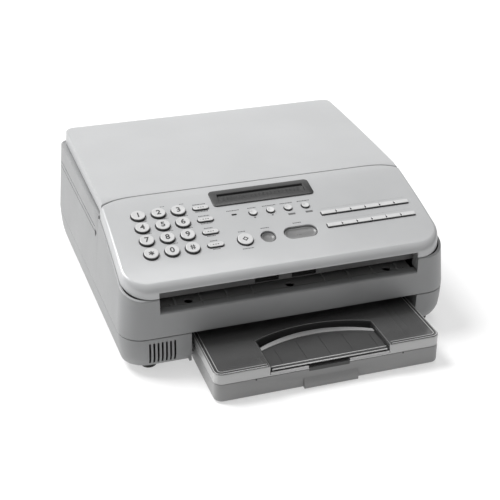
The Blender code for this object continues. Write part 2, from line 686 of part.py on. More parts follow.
def make_guides(parts, cutters):
    """Lower guide on the base, and the upper guide that lifts with the control panel."""
    lower = [(3.4, 69.8), (12.0, 72.6), (30.0, 74.6), (128.0, 79.6), (128.0, 77.4), (30.0, 72.4),
             (12.0, 70.4), (3.4, 67.4)]
    guide = slab("lower_document_guide", lower, -GUIDE_HALF, GUIDE_HALF, parts, "yzx")
    ribs = [((x - 0.8, 14.0, 71.5), (x + 0.8, 48.0, 77.2)) for x in RIB_PLACES]
    cheeks = [((side * (GUIDE_HALF - 1.3) - 1.3, 46.0, 58.0), (side * (GUIDE_HALF - 1.3) + 1.3, 127.0, 82.0))
              for side in (-1, 1)]
    posts = [((side * (GUIDE_HALF - 1.3) - 1.3, 70.0, DECK_TOP + GAP),
              (side * (GUIDE_HALF - 1.3) + 1.3, 112.0, 59.0)) for side in (-1, 1)]
    add_boxes(guide, "guide_ribs", ribs + cheeks + posts, cutters)
    bm = bmesh.new()
    rod(bm, (GUIDE_HALF - 1.0, *IDLER_GEAR), (147.0, *IDLER_GEAR), 2.6)
    combine(guide, finish(bm, "idler_stud", cutters), "UNION")
    windows = [((-131.0, y - 9.0, 70.0), (131.0, y + 9.0, 90.0)) for y, _ in (FEED_ROLLER, EXIT_ROLLER)]
    windows[1] = ((-131.0, EXIT_ROLLER[0] - 9.0, 70.0), (131.0, EXIT_ROLLER[0] + 5.0, 90.0))
    windows.append(((-128.0, 85.0, 70.0), (128.0, 94.0, 90.0)))
    cut_boxes(guide, "guide_windows", windows, cutters)
    holes = [((x, 9.5, 60.0), (x, 9.5, 90.0), 3.0) for x in (-108.0, 0.0, 108.0)]
    shafts = [((-150.0, *axis), (150.0, *axis), 3.4) for axis in (FEED_ROLLER, EXIT_ROLLER)]
    cut_rods(guide, "guide_holes", holes + shafts, cutters)
    paint(guide, "guide")

    touch = -PANEL_WALL - GAP
    crest = (panel_line(touch, 0.09, 0.19, 1) + panel_line(BOARD_DROP - 3.0, 0.20, 0.79, 3)
             + panel_line(touch, 0.83, 0.88, 1))
    plate = [(9.0, 92.0), (32.0, 86.5), (60.0, 82.0), (124.0, 85.5), (124.0, 87.5), (60.0, 84.0),
             (32.0, 88.5), (9.0, 94.0)]
    upper = slab("upper_document_guide", plate, -GUIDE_HALF + 3, GUIDE_HALF - 3, parts, "yzx",
                 (0.0, *PANEL_PIVOT))
    for side in (-1, 1):
        x = side * (GUIDE_HALF - 1.4)
        cheek = [*crest, (crest[-1][0], 85.0), (60.0, 82.0), (32.0, 86.5), (crest[0][0], 90.0)]
        ends = sorted((x - 1.2, x + 1.2))
        combine(upper, slab(f"guide_cheek_{side}", cheek, *ends, cutters, "yzx"), "UNION")
        bridge = ((min(x, x - side * 3), 40.0, 84.6), (max(x, x - side * 3), 110.0, 86.2))
        combine(upper, box(f"guide_bridge_{side}", *bridge, cutters), "UNION")
    cut_boxes(upper, "upper_windows", [((7.0, 14.0, 80.0), (33.0, 28.0, 100.0)),
                                       ((-33.0, 14.0, 80.0), (-7.0, 28.0, 100.0))], cutters)
    paint(upper, "guide")


def roller(name, axis, sections, parts, slot, sides=16):
    """A roller about X from (radius, start, end) sections listed from left to right."""
    profile = [(0.0, sections[-1][2])]
    for radius, start, end in reversed(sections):
        profile += [(radius, end), (radius, start)]
    profile.append((0.0, sections[0][1]))
    matrix = Matrix.Translation(world(0.0, *axis)) @ Matrix.Rotation(math.radians(90), 4, "Y")
    made = turned(name, profile, parts, matrix, sides)
    paint(made, slot)
    return made


def make_rollers(parts):
    for name, axis in (("document_feed_roller", FEED_ROLLER), ("document_exit_roller", EXIT_ROLLER)):
        roller(name, axis, [(3.0, -141.0, -128.0), (ROLLER_RADIUS - 1.2, -128.0, 128.0),
                            (3.0, 128.0, 142.0), (PINION_RADIUS, 142.0, 146.0)], parts, "rubber")
    middle = CASSETTE_X
    reach = PRINT_HALF - 4.0
    roller("platen_roller", PLATEN, [(4.0, middle - PRINT_HALF - 2.0, middle - reach),
                                     (PLATEN_RADIUS, middle - reach, middle + reach),
                                     (4.0, middle + reach, middle + PRINT_HALF + 2.0)], parts, "rubber")
    roller("pickup_roller", PICKUP, [(3.0, BAY_LEFT - 2.0, middle - 28.0),
                                     (PICKUP_RADIUS, middle - 28.0, middle + 28.0),
                                     (3.0, middle + 28.0, BAY_RIGHT + 2.0)], parts, "rubber")


def make_idler(parts, cutters):
    """Toothed idler that ties the two document rollers together."""
    teeth = 20
    outline = []
    for tooth in range(teeth):
        for share, reach in ((0.0, -1.6), (0.3, -1.6), (0.45, 0.0), (0.8, 0.0)):
            angle = 2 * math.pi * (tooth + share) / teeth
            radius = IDLER_RADIUS - GAP + reach
            outline.append((IDLER_GEAR[0] + radius * math.cos(angle),
                            IDLER_GEAR[1] + radius * math.sin(angle)))
    gear = slab("roller_drive_gear", outline, 142.2, 145.8, parts, "yzx", (144.0, *IDLER_GEAR))
    cut_rods(gear, "idler_bore", [((140.0, *IDLER_GEAR), (148.0, *IDLER_GEAR), 3.0)], cutters)
    paint(gear, "plate")


# ---------------------------------------------------------------- cover and print unit

def make_cover(parts, cutters):
    """Top cover: a shallow shell whose front edge follows the control panel's seam."""
    reach = HALF_WIDTH - COVER_INSET
    rear = COVER_REAR
    plan = (seam_line(reach, SEAM_GAP, COVER_SHARE) + arc((-reach + 12, rear - 12), 12, 180, 90, 3)
            + arc((reach - 12, rear - 12), 12, 90, 0, 3))
    bm = extruded(plan, 100.0, 170.0)
    follow_sides(bm, COVER_INSET, COVER_TAPER)
    cover = finish(bm, "top_cover", parts, (0.0, *COVER_PIVOT))
    top = panel_line(0.0, 0.86, 0.98, 2) + cover_line(0.0)[1:]
    side = [(top[0][0], RIM_FRONT + 0.6), (rear + 5.0, RIM_REAR + 0.6), (rear + 5.0, top[-1][1]),
            *reversed(top)]
    keep = slab("cover_profile", side, -200.0, 200.0, cutters, "yzx")
    combine(cover, keep, "INTERSECT")
    inner = reach - WALL
    bm = extruded(rounded_rectangle(-inner, inner, 138.5, rear - WALL, 6.0, 10.0, 3), 100.0, 170.0)
    follow_sides(bm, COVER_INSET + WALL, COVER_TAPER)
    inside = finish(bm, "cover_inside", cutters)
    lining = cover_line(WALL)
    room = [(100.0, 90.0), (400.0, 90.0), (400.0, lining[-1][1]), *reversed(lining), (100.0, lining[0][1])]
    combine(inside, slab("cover_room", room, -190.0, 190.0, cutters, "yzx"), "INTERSECT")
    combine(cover, inside)
    paint(cover, "cover")


def make_print_unit(parts):
    """Film cartridge behind the platen roller, and the image sensor under the document path."""
    y = PLATEN[0]
    shell = [(y + 13.0, 76.0), (y + 94.0, 76.0), (y + 98.0, 82.0), (y + 98.0, 106.0), (y + 92.0, 114.0),
             (y + 62.0, 116.0), (y + 54.0, 108.0), (y + 44.0, 106.0), (y + 30.0, 112.0), (y + 13.0, 110.0)]
    ends = (CASSETTE_X - PRINT_HALF + 3.0, CASSETTE_X + PRINT_HALF - 3.0)
    paint(slab("print_cartridge", shell, *ends, parts, "yzx"), "dark")
    sensor = box("image_sensor", (-125.0, 82.0, 60.0), (125.0, 97.0, 74.4), parts)
    paint(sensor, "guide")


# ---------------------------------------------------------------- cassette

def cassette_outline(inset, front=0.0, rear=CASSETTE_REAR, corner=9.0):
    corner = max(corner - inset, 1.5)
    return rounded_rectangle(CASSETTE_X - CASSETTE_HALF + inset, CASSETTE_X + CASSETTE_HALF - inset,
                             CASSETTE_FRONT + front + inset, rear - inset, corner, min(corner, 3.0), 4)


def make_cassette(parts, cutters):
    tray = slab("paper_cassette", cassette_outline(0.0), CASSETTE_BOTTOM, CASSETTE_TOP, parts)
    left, right = CASSETTE_X - CASSETTE_HALF, CASSETTE_X + CASSETTE_HALF
    runners = [((left - 3.2, 14.0, 18.6), (left + 1.0, 244.0, CASSETTE_TOP - 0.6)),
               ((right - 1.0, 14.0, 18.6), (right + 3.2, 244.0, CASSETTE_TOP - 0.6))]
    grip = [((CASSETTE_X - 29.0, CASSETTE_FRONT - GRIP_DEPTH, CASSETTE_BOTTOM),
             (CASSETTE_X + 29.0, CASSETTE_FRONT + 2.0, 7.0))]
    add_boxes(tray, "cassette_rails", runners + grip, cutters)
    cut_slab(tray, "cassette_inside", cassette_outline(WALL), CASSETTE_BOTTOM + 2.0, 60.0, cutters)
    paint(tray, "cassette")


def make_cassette_cover(parts, cutters):
    """Clear cover over the front of the cassette, notched where the paper stopper lies."""
    low = CASSETTE_TOP + GAP
    cover = slab("cassette_cover", cassette_outline(0.0, rear=28.0), low, COVER_TOP, parts)
    hollow = cassette_outline(2.0, rear=28.0)
    cut_slab(cover, "cover_hollow", hollow, low - 5.0, COVER_TOP - 2.0, cutters)
    edge = CASSETTE_FRONT
    sag = 14.0
    radius = (NOTCH_HALF ** 2 + sag ** 2) / (2 * sag)
    half_angle = math.degrees(math.asin(NOTCH_HALF / radius))
    back = arc((CASSETTE_X, edge + 64.0 - radius), radius, 90 - half_angle, 90 + half_angle, 8)
    notch = [(CASSETTE_X - NOTCH_HALF, edge - 5.0), (CASSETTE_X + NOTCH_HALF, edge - 5.0), *back]
    cut_slab(cover, "cover_notch", notch, low + 1.5, 60.0, cutters)
    paint(cover, "smoked")


def make_stopper(parts):
    """Fan-shaped paper stopper, hinged along the front of the cassette cover."""
    front = CASSETTE_FRONT + 3.0
    sag = 17.0
    half = NOTCH_HALF - 2.5
    radius = (half ** 2 + sag ** 2) / (2 * sag)
    half_angle = math.degrees(math.asin(half / radius))
    back = arc((CASSETTE_X, front + 50.0 - radius), radius, 90 - half_angle, 90 + half_angle, 8)
    outline = [(CASSETTE_X - half, front), (CASSETTE_X + half, front), *back]
    stopper = slab("paper_stopper", outline, 26.8, 29.0, parts, origin=(CASSETTE_X, *STOPPER_PIVOT))
    paint(stopper, "smoked")


def make_lift_plate(parts):
    """Plate under the paper that tips up towards the pickup roller."""
    outline = rounded_rectangle(CASSETTE_X - 108.0, CASSETTE_X + 108.0, -50.0, 240.0, 2.0, 2.0, 1)
    plate = slab("paper_lift_plate", outline, 4.4, 6.0, parts, origin=(CASSETTE_X, *LIFT_PIVOT))
    paint(plate, "plate")


# ---------------------------------------------------------------- electrics

def socket(name, opening, depth, parts):
    """Block of a socket that fills its opening in the rear wall."""
    x0, x1, z0, z1 = opening
    low = (x0 + GAP, BODY_DEPTH - depth, z0 + GAP)
    high = (x1 - GAP, BODY_DEPTH - 0.6, z1 - GAP)
    return box(name, low, high, parts)


def make_electrics(parts, cutters):
    paint(box("main_board", (-172.0, 132.0, 52.0), (-106.0, 310.0, 53.6), parts), "board")
    supply = box("power_supply", (-170.0, 70.0, BASE_BOTTOM + WALL + GAP), (-118.0, 250.0, 42.0), parts)
    paint(supply, "metal")
    roller("drive_motor", MOTOR, [(2.5, 142.5, 149.6), (15.0, 149.6, 168.0)], parts, "metal", 20)
    rear = BODY_DEPTH
    inlet = socket("power_inlet", INLET_OPENING, 22.0, parts)
    cut_boxes(inlet, "inlet_mouth", [((112.0, rear - 14.0, 64.0), (134.0, rear + 5.0, 80.0))], cutters)
    paint(inlet, "dark")
    jack = socket("line_jack", JACK_OPENING, 18.0, parts)
    cut_boxes(jack, "jack_mouth", [((-135.5, rear - 12.0, 65.0), (-124.5, rear + 5.0, 73.0))], cutters)
    paint(jack, "dark")


def main():
    clear_scene()
    parts = new_collection("fax_machine")
    cutters = new_collection("cutters")
    make_base(parts, cutters)
    make_housing(parts, cutters)
    make_guides(parts, cutters)
    make_rollers(parts)
    make_idler(parts, cutters)
    make_panel(parts, cutters)
    make_keys(parts)
    make_display(parts, cutters)
    make_panel_board(parts)
    make_cover(parts, cutters)
    make_print_unit(parts)
    make_cassette(parts, cutters)
    make_cassette_cover(parts, cutters)
    make_stopper(parts)
    make_lift_plate(parts)
    make_electrics(parts, cutters)


main()
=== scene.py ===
"""Looks of the fax machine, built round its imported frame.

Shapes are worked out in body millimetres: X to the right, Y back from the front face of the
housing and Z up from the table. at() turns a body point into a point of the frame, in metres.
"""

import math

import bmesh
import bpy
from mathutils import Matrix, Vector


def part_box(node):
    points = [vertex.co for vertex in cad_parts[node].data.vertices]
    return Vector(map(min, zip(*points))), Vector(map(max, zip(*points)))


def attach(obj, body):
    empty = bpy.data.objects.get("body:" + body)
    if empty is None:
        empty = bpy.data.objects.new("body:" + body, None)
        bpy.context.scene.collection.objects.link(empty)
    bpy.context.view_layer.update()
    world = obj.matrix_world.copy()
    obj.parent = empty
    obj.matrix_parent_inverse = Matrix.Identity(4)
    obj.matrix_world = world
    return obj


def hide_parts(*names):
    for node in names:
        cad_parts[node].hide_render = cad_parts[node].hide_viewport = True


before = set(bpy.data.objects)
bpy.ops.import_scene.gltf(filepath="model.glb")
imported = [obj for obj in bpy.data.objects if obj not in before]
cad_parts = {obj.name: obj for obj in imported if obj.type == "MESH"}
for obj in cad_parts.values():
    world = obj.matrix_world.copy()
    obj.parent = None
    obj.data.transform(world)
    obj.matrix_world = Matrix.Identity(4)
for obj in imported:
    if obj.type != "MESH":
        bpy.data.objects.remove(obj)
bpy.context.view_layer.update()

MM = 0.001
HOUSING_LOW, HOUSING_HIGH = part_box("main_housing")
FRONT = HOUSING_LOW.y
BODY_DEPTH = (HOUSING_HIGH.y - HOUSING_LOW.y) / MM

# Body, as in the frame
HALF_WIDTH = 180.0
REAR_FLARE = 8.0
SIDE_DRAFT = 0.0975
WIDEST_Z = 50.0
TUCK_HEIGHT, TUCK_DEPTH = 42.0, 5.5       # how the walls curve in below their widest height
BAND_TOP, BAND_SLOPE = 20.0, 0.32         # steeper band along the bottom of the front and the rear
WALL = 2.6
FRONT_CORNER = 25.0
REAR_CORNER = 14.0
BASE_BOTTOM = 8.5
BASE_TOP = 43.4
DECK_TOP = 47.0
SEAM = 0.4                    # gap between neighbouring shells
FEET = [(-150.0, 24.0), (159.0, 24.0), (-160.0, 325.0), (164.0, 325.0)]
FOOT_RADIUS = 8.0
VENT_FIRST_X, VENT_PITCH, VENT_HALF = -152.6, 4.35, 1.05

# Control panel
PANEL_FRONT = Vector((7.0, 103.4))
PANEL_REAR = Vector((134.4, 141.0))
PANEL_BOW = 2.3
PANEL_WALL = 2.5
PANEL_INSET = 1.7
SKIRT = 13.0
SKIRT_END = 124.6
SEAM_STRAIGHT = 118.0
SEAM_DROP = 11.0
SEAM_POWER = 4
SEAM_GAP = 1.1
NOSE_RADIUS = 8.0

# Cover
COVER_RISE, COVER_POWER = 6.4, 1.8
COVER_INSET = 1.6
COVER_TAPER = 4.2
COVER_SHARE = 0.993           # width of the cover over that of the panel, at the seam
COVER_REAR = BODY_DEPTH - 2.0
RIM_FRONT = 128.5
RIM_REAR = 131.0
LEDGE = 9.0                   # width of the rim that carries the cover
LEDGE_DROP = 0.4

# Openings in the rear wall: left, right, bottom and top
EXIT_OPENING = (-130.0, 130.0, 100.0, 114.0)
INLET_OPENING = (108.0, 138.0, 60.0, 84.0)
JACK_OPENING = (-142.0, -118.0, 57.5, 80.5)

# Document slot
SLOT_HALF = 140.6
SLOT_BOTTOM = 70.6
SLOT_TOP = 94.6
FEED_ROLLER = (62.0, 67.6)
EXIT_ROLLER = (118.0, 70.4)
IDLER_GEAR = (90.0, 69.0)
GUIDE_HALF = 137.0
RIB_PLACES = [side * (39.5 + 27.5 * n) for side in (-1, 1) for n in range(4)]

# Cassette
BAY_LEFT, BAY_RIGHT, BAY_REAR = -109.0, 142.0, 262.0
TRAY_X = 16.5
TRAY_LEFT, TRAY_RIGHT = TRAY_X - 121.0, TRAY_X + 121.0
TRAY_FRONT = -68.0
TRAY_REAR = 252.0
TRAY_BOTTOM = 1.2
TRAY_TOP = 21.4
LID_TOP = 33.5
LID_REAR = 28.0
NOTCH_HALF = 64.5
GROOVE_PLACES = (-48.5, -22.5, 3.0, 27.5, 54.5)

# Print unit
PLATEN = (214.0, 104.0)
PICKUP = (226.0, 33.4)
MOTOR = (112.0, 53.0)
PRINT_HALF = 118.0

# Keys: X and the distance up the slope from the panel's front edge
KEY_ROWS = [38.6 + 19.7 * row for row in range(4)]
NUMBER_COLUMNS = [-137.4, -115.6, -94.0]
NUMBER_RADIUS, NUMBER_HEIGHT = 7.5, 2.8
FIGURE_HEIGHT = NUMBER_HEIGHT - 0.18      # a figure's underside, just above the dished top
SIDE_KEY_X, SIDE_KEY_SIZE = -69.5, (17.0, 6.0)
SMALL_HEIGHT = 1.9
FUNCTION_KEY_X = [-16.7 + 19.8 * column for column in range(4)]
FUNCTION_KEY_S, FUNCTION_KEY_RADIUS = 78.8, 4.2
MEMORY_KEY, MEMORY_RADIUS, MEMORY_HEIGHT = (-37.2, 40.0), 8.2, 2.3
RESET_KEY, RESET_RADIUS, RESET_HEIGHT = (-11.7, 40.4), 7.5, -1.6
START_KEY, START_KEY_SIZE, START_HEIGHT = (24.4, 40.5), (35.5, 15.8), -1.8
ONE_TOUCH_FIRST_X, ONE_TOUCH_PITCH, ONE_TOUCH_DEPTH = 63.4, 17.0, 5.4
ONE_TOUCH_ROWS = [42.6, 62.4]
DISPLAY_CENTRE, DISPLAY_SIZE, DISPLAY_CORNER = (2.2, 109.4), (115.0, 26.4), 4.5
WINDOW_CENTRE, WINDOW_SIZE = (2.3, 109.7), (98.2, 11.2)
CELLS, CELL_PITCH = 20, 4.5
MARK_LOW, MARK_HIGH = -0.1, 0.07          # printed marks, from below the surface to above it


# ---------------- materials

GRAIN_DEPTH = 0.04


def feed(tree, node, inputs):
    """Set a node's inputs, linking those whose value is another node's output."""
    for name, value in inputs.items():
        if isinstance(value, bpy.types.NodeSocket):
            tree.links.new(value, node.inputs[name])
        else:
            node.inputs[name].default_value = value


def add(tree, kind, inputs):
    """Add a node with its inputs and return its outputs."""
    node = tree.nodes.new(kind)
    feed(tree, node, inputs)
    return node.outputs


def ramp(tree, source, low, high):
    """Colours between two, by a noise value."""
    node = tree.nodes.new("ShaderNodeValToRGB")
    for stop, position, colour in zip(node.color_ramp.elements, (0.3, 0.7), (low, high)):
        stop.position = position
        stop.color = (*colour, 1.0)
    feed(tree, node, {"Fac": source})
    return node.outputs["Color"]


def noise(tree, coordinates, scale, detail=4.0):
    inputs = {"Scale": scale, "Detail": detail, "Vector": coordinates}
    return add(tree, "ShaderNodeTexNoise", inputs)["Fac"]


def clear_walls_painted_light(tree, colour, alpha, upright):
    """A lighter colour, painted light, and a denser alpha where a clear plastic's surface stands upright.
    """
    normal = tree.nodes.new("ShaderNodeNewGeometry").outputs["Normal"]
    rise = add(tree, "ShaderNodeSeparateXYZ", {"Vector": normal})["Z"]
    flatness = add(tree, "ShaderNodeMapRange", {"From Min": 0.25, "From Max": 0.85, "Value": rise})
    flatness = flatness["Result"]
    # The lighter grey on upright faces is painted light, not the plastic's own colour.
    mix = tree.nodes.new("ShaderNodeMix")
    mix.data_type = "RGBA"
    feed(tree, mix, {"A": (*grey(upright[0]), 1.0), "B": colour, "Factor": flatness})
    density = add(tree, "ShaderNodeMapRange", {"To Min": upright[1], "To Max": alpha, "Value": flatness})
    return mix.outputs["Result"], density["Result"]


def finish_of(name, colours, roughness, swing=0.06, grain=0.15, grain_size=0.8, patch_size=60.0,
              metallic=0.0, coat=0.0, alpha=1.0, specular=0.5, upright=None):
    """A moulded or painted surface: patchy colour, fine grain and uneven gloss.

    grain_size and patch_size are in millimetres. upright gives a clear plastic's side walls a lighter
    grey, painted light for the light they catch, and the denser opacity of walls seen edge on.
    """
    material = bpy.data.materials.new(name)
    material.use_nodes = True
    tree = material.node_tree
    coordinates = tree.nodes.new("ShaderNodeTexCoord").outputs["Object"]
    patches = noise(tree, coordinates, 1000.0 / patch_size)
    fine = noise(tree, coordinates, 1000.0 / grain_size, 2.0)
    colour = ramp(tree, patches, *colours)
    if upright:
        colour, alpha = clear_walls_painted_light(tree, colour, alpha, upright)
    gloss = add(tree, "ShaderNodeMapRange", {
        "From Min": 0.25, "From Max": 0.75, "To Min": roughness - swing, "To Max": roughness + swing,
        "Value": fine})
    bump = add(tree, "ShaderNodeBump", {"Strength": grain, "Distance": GRAIN_DEPTH * MM, "Height": fine})
    feed(tree, tree.nodes["Principled BSDF"], {
        "Base Color": colour, "Roughness": gloss["Result"], "Normal": bump["Normal"], "Alpha": alpha,
        "Metallic": metallic, "Coat Weight": coat, "Specular IOR Level": specular})
    return material


def grey(value, tint=0.0):
    """A grey, very slightly cool when tint is above 0."""
    return (value * (1 - tint), value, value * (1 + tint))


def greys(low, high, tint=0.0):
    return grey(low, tint), grey(high, tint)


def ink(name, low, high):
    """A printed mark."""
    return finish_of(name, greys(low, high), 0.60, patch_size=3.0, grain_size=0.3)


def small_part(name, low, high, roughness):
    return finish_of(name, greys(low, high), roughness, patch_size=12.0, grain_size=0.4)


def clear(name, low, high, roughness, swing=0.03, grain=0.05, **more):
    """A glossy clear plastic, or a part seen through one."""
    return finish_of(name, greys(low, high), roughness, swing=swing, grain=grain, **more)


SILVER_TINT = 0.01
LOOKS = {
    "housing": finish_of("silver_housing", greys(0.25, 0.28, SILVER_TINT), 0.42, metallic=0.15),
    "base": finish_of("silver_base", greys(0.25, 0.28, SILVER_TINT), 0.46, metallic=0.10),
    "panel": finish_of("satin_panel", greys(0.43, 0.47, SILVER_TINT), 0.36, metallic=0.15,
                       patch_size=90.0, coat=0.1),
    "cover": finish_of("silver_cover", greys(0.42, 0.45, SILVER_TINT), 0.40, metallic=0.15,
                       patch_size=90.0),
    # Painted shade for the keys' side walls and feet.
    "skirt": small_part("key_skirt_plastic", 0.05, 0.07, 0.45),
    "key": small_part("key_plastic", 0.52, 0.56, 0.36),
    "grey_key": small_part("grey_key_plastic", 0.16, 0.19, 0.34),
    # Also used for painted shade: the finger recess and the stopper's grooves.
    "dark": finish_of("dark_plastic", greys(0.030, 0.040), 0.36, patch_size=20.0),
    "glass": finish_of("display_glass", greys(0.055, 0.070), 0.12, grain=0.02, coat=0.5),
    "cells": finish_of("display_cells", greys(0.014, 0.030), 0.35, patch_size=3.0),
    "guide": finish_of("guide_plastic", greys(0.09, 0.11), 0.48),
    "path": finish_of("path_plastic", greys(0.26, 0.29), 0.40, metallic=0.1),
    "lead_in": finish_of("lead_in_plastic", greys(0.05, 0.065), 0.45),
    "cassette": finish_of("cassette_plastic", greys(0.24, 0.27), 0.44, patch_size=80.0),
    # Its upright walls get a lighter grey: painted light.
    "smoked": clear("smoked_plastic", 0.10, 0.12, 0.14, alpha=0.60, coat=0.4, specular=0.7,
                    upright=(0.52, 0.80)),
    "smoked_flap": clear("smoked_flap_plastic", 0.055, 0.068, 0.30, 0.01, 0.01, alpha=0.88, coat=0.3),
    # Lighter than the flap: painted highlight on its raised rim.
    "flap_rim": clear("flap_rim_painted_highlight", 0.34, 0.40, 0.20, 0.04, alpha=0.9, coat=0.3),
    # Very dark: the notch's well, and painted shade on the band of the lid's inner wall.
    "well": clear("lid_well_and_wall_shade", 0.045, 0.06, 0.18, coat=0.3),
    # Painted highlight: light bands on the lid's edges and sills and on the stopper's hinge bars.
    "lid_highlight": clear("painted_lid_highlight", 0.52, 0.60, 0.20, alpha=0.75, coat=0.3),
    "plate": finish_of("plate_plastic", greys(0.42, 0.48), 0.45),
    "gear": finish_of("gear_plastic", ((0.62, 0.60, 0.54), (0.68, 0.66, 0.60)), 0.40, patch_size=10.0),
    "rubber": finish_of("roller_rubber", greys(0.020, 0.035), 0.82, grain=0.5, grain_size=0.5),
    "metal": finish_of("bare_metal", greys(0.50, 0.62), 0.32, metallic=1.0, grain_size=0.5),
    "board": finish_of("circuit_board", ((0.012, 0.09, 0.04), (0.02, 0.13, 0.06)), 0.42, patch_size=6.0),
    "ink": ink("printed_ink", 0.030, 0.045),
    "faint_ink": ink("faint_ink", 0.07, 0.11),
    "line_ink": ink("line_ink", 0.38, 0.42),
    "mark_ink": ink("mark_ink", 0.09, 0.13),
    "lamp": finish_of("lamp_lens", greys(0.018, 0.030), 0.18, patch_size=3.0, coat=0.6),
    "floor": finish_of("pale_floor", greys(0.45, 0.47), 0.8, patch_size=700.0, grain=0.05, specular=0.1),
}


# ---------------- frames and outlines

def at(x, y, z):
    """A body point in millimetres as a point of the frame."""
    return Vector((x * MM, FRONT + y * MM, z * MM))


def tuck(z):
    """How far the walls curve in below their widest height."""
    below = min(max(WIDEST_Z - z, 0.0) / TUCK_HEIGHT, 1.0)
    return TUCK_DEPTH * (1 - math.sqrt(1 - below ** 2))


def half_width(y, z):
    return HALF_WIDTH + REAR_FLARE * y / BODY_DEPTH - SIDE_DRAFT * max(z - WIDEST_Z, 0.0) - tuck(z)


def panel_arc():
    """Radius of the panel's arc and its slope at the front edge."""
    chord = (PANEL_REAR - PANEL_FRONT).length
    radius = chord ** 2 / (8 * PANEL_BOW) + PANEL_BOW / 2
    rise = math.atan2(PANEL_REAR.y - PANEL_FRONT.y, PANEL_REAR.x - PANEL_FRONT.x)
    return radius, rise + math.asin(chord / (2 * radius))


ARC_RADIUS, FIRST_SLOPE = panel_arc()


def panel_z(y):
    """Height of the panel's surface."""
    slope = math.asin(math.sin(FIRST_SLOPE) - (y - PANEL_FRONT.x) / ARC_RADIUS)
    return PANEL_FRONT.y + ARC_RADIUS * (math.cos(slope) - math.cos(FIRST_SLOPE))


def on_panel(x, s, lift=0.0):
    """Placement of something square on the panel, a distance s up from its front edge."""
    slope = FIRST_SLOPE - s / ARC_RADIUS
    y = PANEL_FRONT.x + ARC_RADIUS * (math.sin(FIRST_SLOPE) - math.sin(slope)) - lift * math.sin(slope)
    z = PANEL_FRONT.y + ARC_RADIUS * (math.cos(slope) - math.cos(FIRST_SLOPE)) + lift * math.cos(slope)
    return Matrix.Translation((x, y, z)) @ Matrix.Rotation(slope, 4, "X")


def cover_z(y):
    """Height of the cover's surface; in front of the seam it goes on along the panel's."""
    if y < PANEL_REAR.x:
        return panel_z(y)
    t = min((y - PANEL_REAR.x) / (COVER_REAR - PANEL_REAR.x), 1.0)
    return PANEL_REAR.y + COVER_RISE * (1 - (1 - t) ** COVER_POWER)


def rim_z(y):
    """Top of the housing: below the panel's skirt at the front, then the rim under the cover."""
    if y <= SKIRT_END:
        return panel_z(y) - SKIRT - SEAM
    return RIM_FRONT + (RIM_REAR - RIM_FRONT) * (y - SKIRT_END) / (BODY_DEPTH - SKIRT_END)


def spread(first, last, count):
    """Evenly spaced values from the first to the last, with count gaps between them."""
    return [first + (last - first) * i / count for i in range(count + 1)]


def arc(centre, radius, start, end, segments):
    """Points on an arc; the angles are in degrees."""
    angles = [math.radians(angle) for angle in spread(start, end, segments)]
    return [(centre[0] + radius * math.cos(a), centre[1] + radius * math.sin(a)) for a in angles]


def rounded_rectangle(x0, x1, y0, y1, front, rear, segments=10):
    """Outline of a rectangle with one radius at its front corners and another at its rear ones."""
    return (arc((x0 + front, y0 + front), front, 180, 270, segments)
            + arc((x1 - front, y0 + front), front, 270, 360, segments)
            + arc((x1 - rear, y1 - rear), rear, 0, 90, segments)
            + arc((x0 + rear, y1 - rear), rear, 90, 180, segments))


def round_outline(radius, segments=40):
    """Outline of a round key as a function of how far it grows."""
    return lambda grow=0.0: arc((0, 0), radius + grow, 0, 360 - 360 / segments, segments - 1)


def slot_outline(length, width, segments=16):
    """Outline of a slot-shaped key as a function of how far it grows."""
    def grown(grow=0.0):
        reach, radius = (length - width) / 2, width / 2 + grow
        return arc((reach, 0), radius, -90, 90, segments) + arc((-reach, 0), radius, 90, 270, segments)
    return grown


def soft_rectangle(width, depth, corner, segments=5):
    """Outline of a rectangle with rounded corners as a function of how far it grows."""
    def grown(grow=0.0):
        x, y, r = width / 2 + grow, depth / 2 + grow, corner + grow
        return rounded_rectangle(-x, x, -y, y, max(r, 0.05), max(r, 0.05), segments)
    return grown


def seam_y(x, gap=0.0):
    """Rear edge of the control panel: straight, then curving forward at the sides."""
    beyond = max(abs(x) - SEAM_STRAIGHT, 0.0) / (HALF_WIDTH - SEAM_STRAIGHT)
    return PANEL_REAR.x - SEAM_DROP * beyond ** SEAM_POWER + gap


def seam_line(reach, gap=0.0, share=1.0):
    """Points along the seam from right to left; share is the width left to a narrower piece."""
    bend = spread(SEAM_STRAIGHT, reach, 16)
    xs = list(reversed(bend)) + [-x for x in bend]
    return [(x, seam_y(x * share, gap)) for x in xs]


def counter_clockwise(outline):
    area = sum(a[0] * b[1] - b[0] * a[1] for a, b in zip(outline, outline[1:] + outline[:1]))
    return outline if area > 0 else list(reversed(outline))


def mitres(outline):
    """Inward direction at each point of a counter-clockwise outline, stretched at its corners."""
    directions = []
    for i, point in enumerate(outline):
        here = Vector(point)
        before = (here - Vector(outline[i - 1])).normalized()
        after = (Vector(outline[(i + 1) % len(outline)]) - here).normalized()
        first, second = Vector((-before.y, before.x)), Vector((-after.y, after.x))
        directions.append((first + second) / (1 + first.dot(second)))
    return directions


# ---------------- solids

def skin(bm, rings):
    """Join equal rings with quads and close the first and the last with a face each."""
    loops = [[bm.verts.new(point) for point in ring] for ring in rings]
    count = len(loops[0])
    for lower, upper in zip(loops, loops[1:]):
        for i in range(count):
            j = (i + 1) % count
            bm.faces.new((lower[i], lower[j], upper[j], upper[i]))
    bm.faces.new(list(reversed(loops[0])))
    bm.faces.new(loops[-1])
    return bm


def risen(outline, profile):
    """Solid whose outline grows as it rises; the profile pairs each growth with a height."""
    return skin(bmesh.new(), [[(u, v, z) for u, v in outline(grow)] for grow, z in profile])


def slice_mesh(bm, axis, places):
    """Add a loop round the mesh at each place along an axis."""
    normal = Vector([1.0 if "xyz"[i] == axis else 0.0 for i in range(3)])
    for place in places:
        geometry = bm.verts[:] + bm.edges[:] + bm.faces[:]
        bmesh.ops.bisect_plane(bm, geom=geometry, dist=1e-4, plane_co=normal * place, plane_no=normal)


UNDERSIDE = -1000.0            # heights near this one are measured from the underside


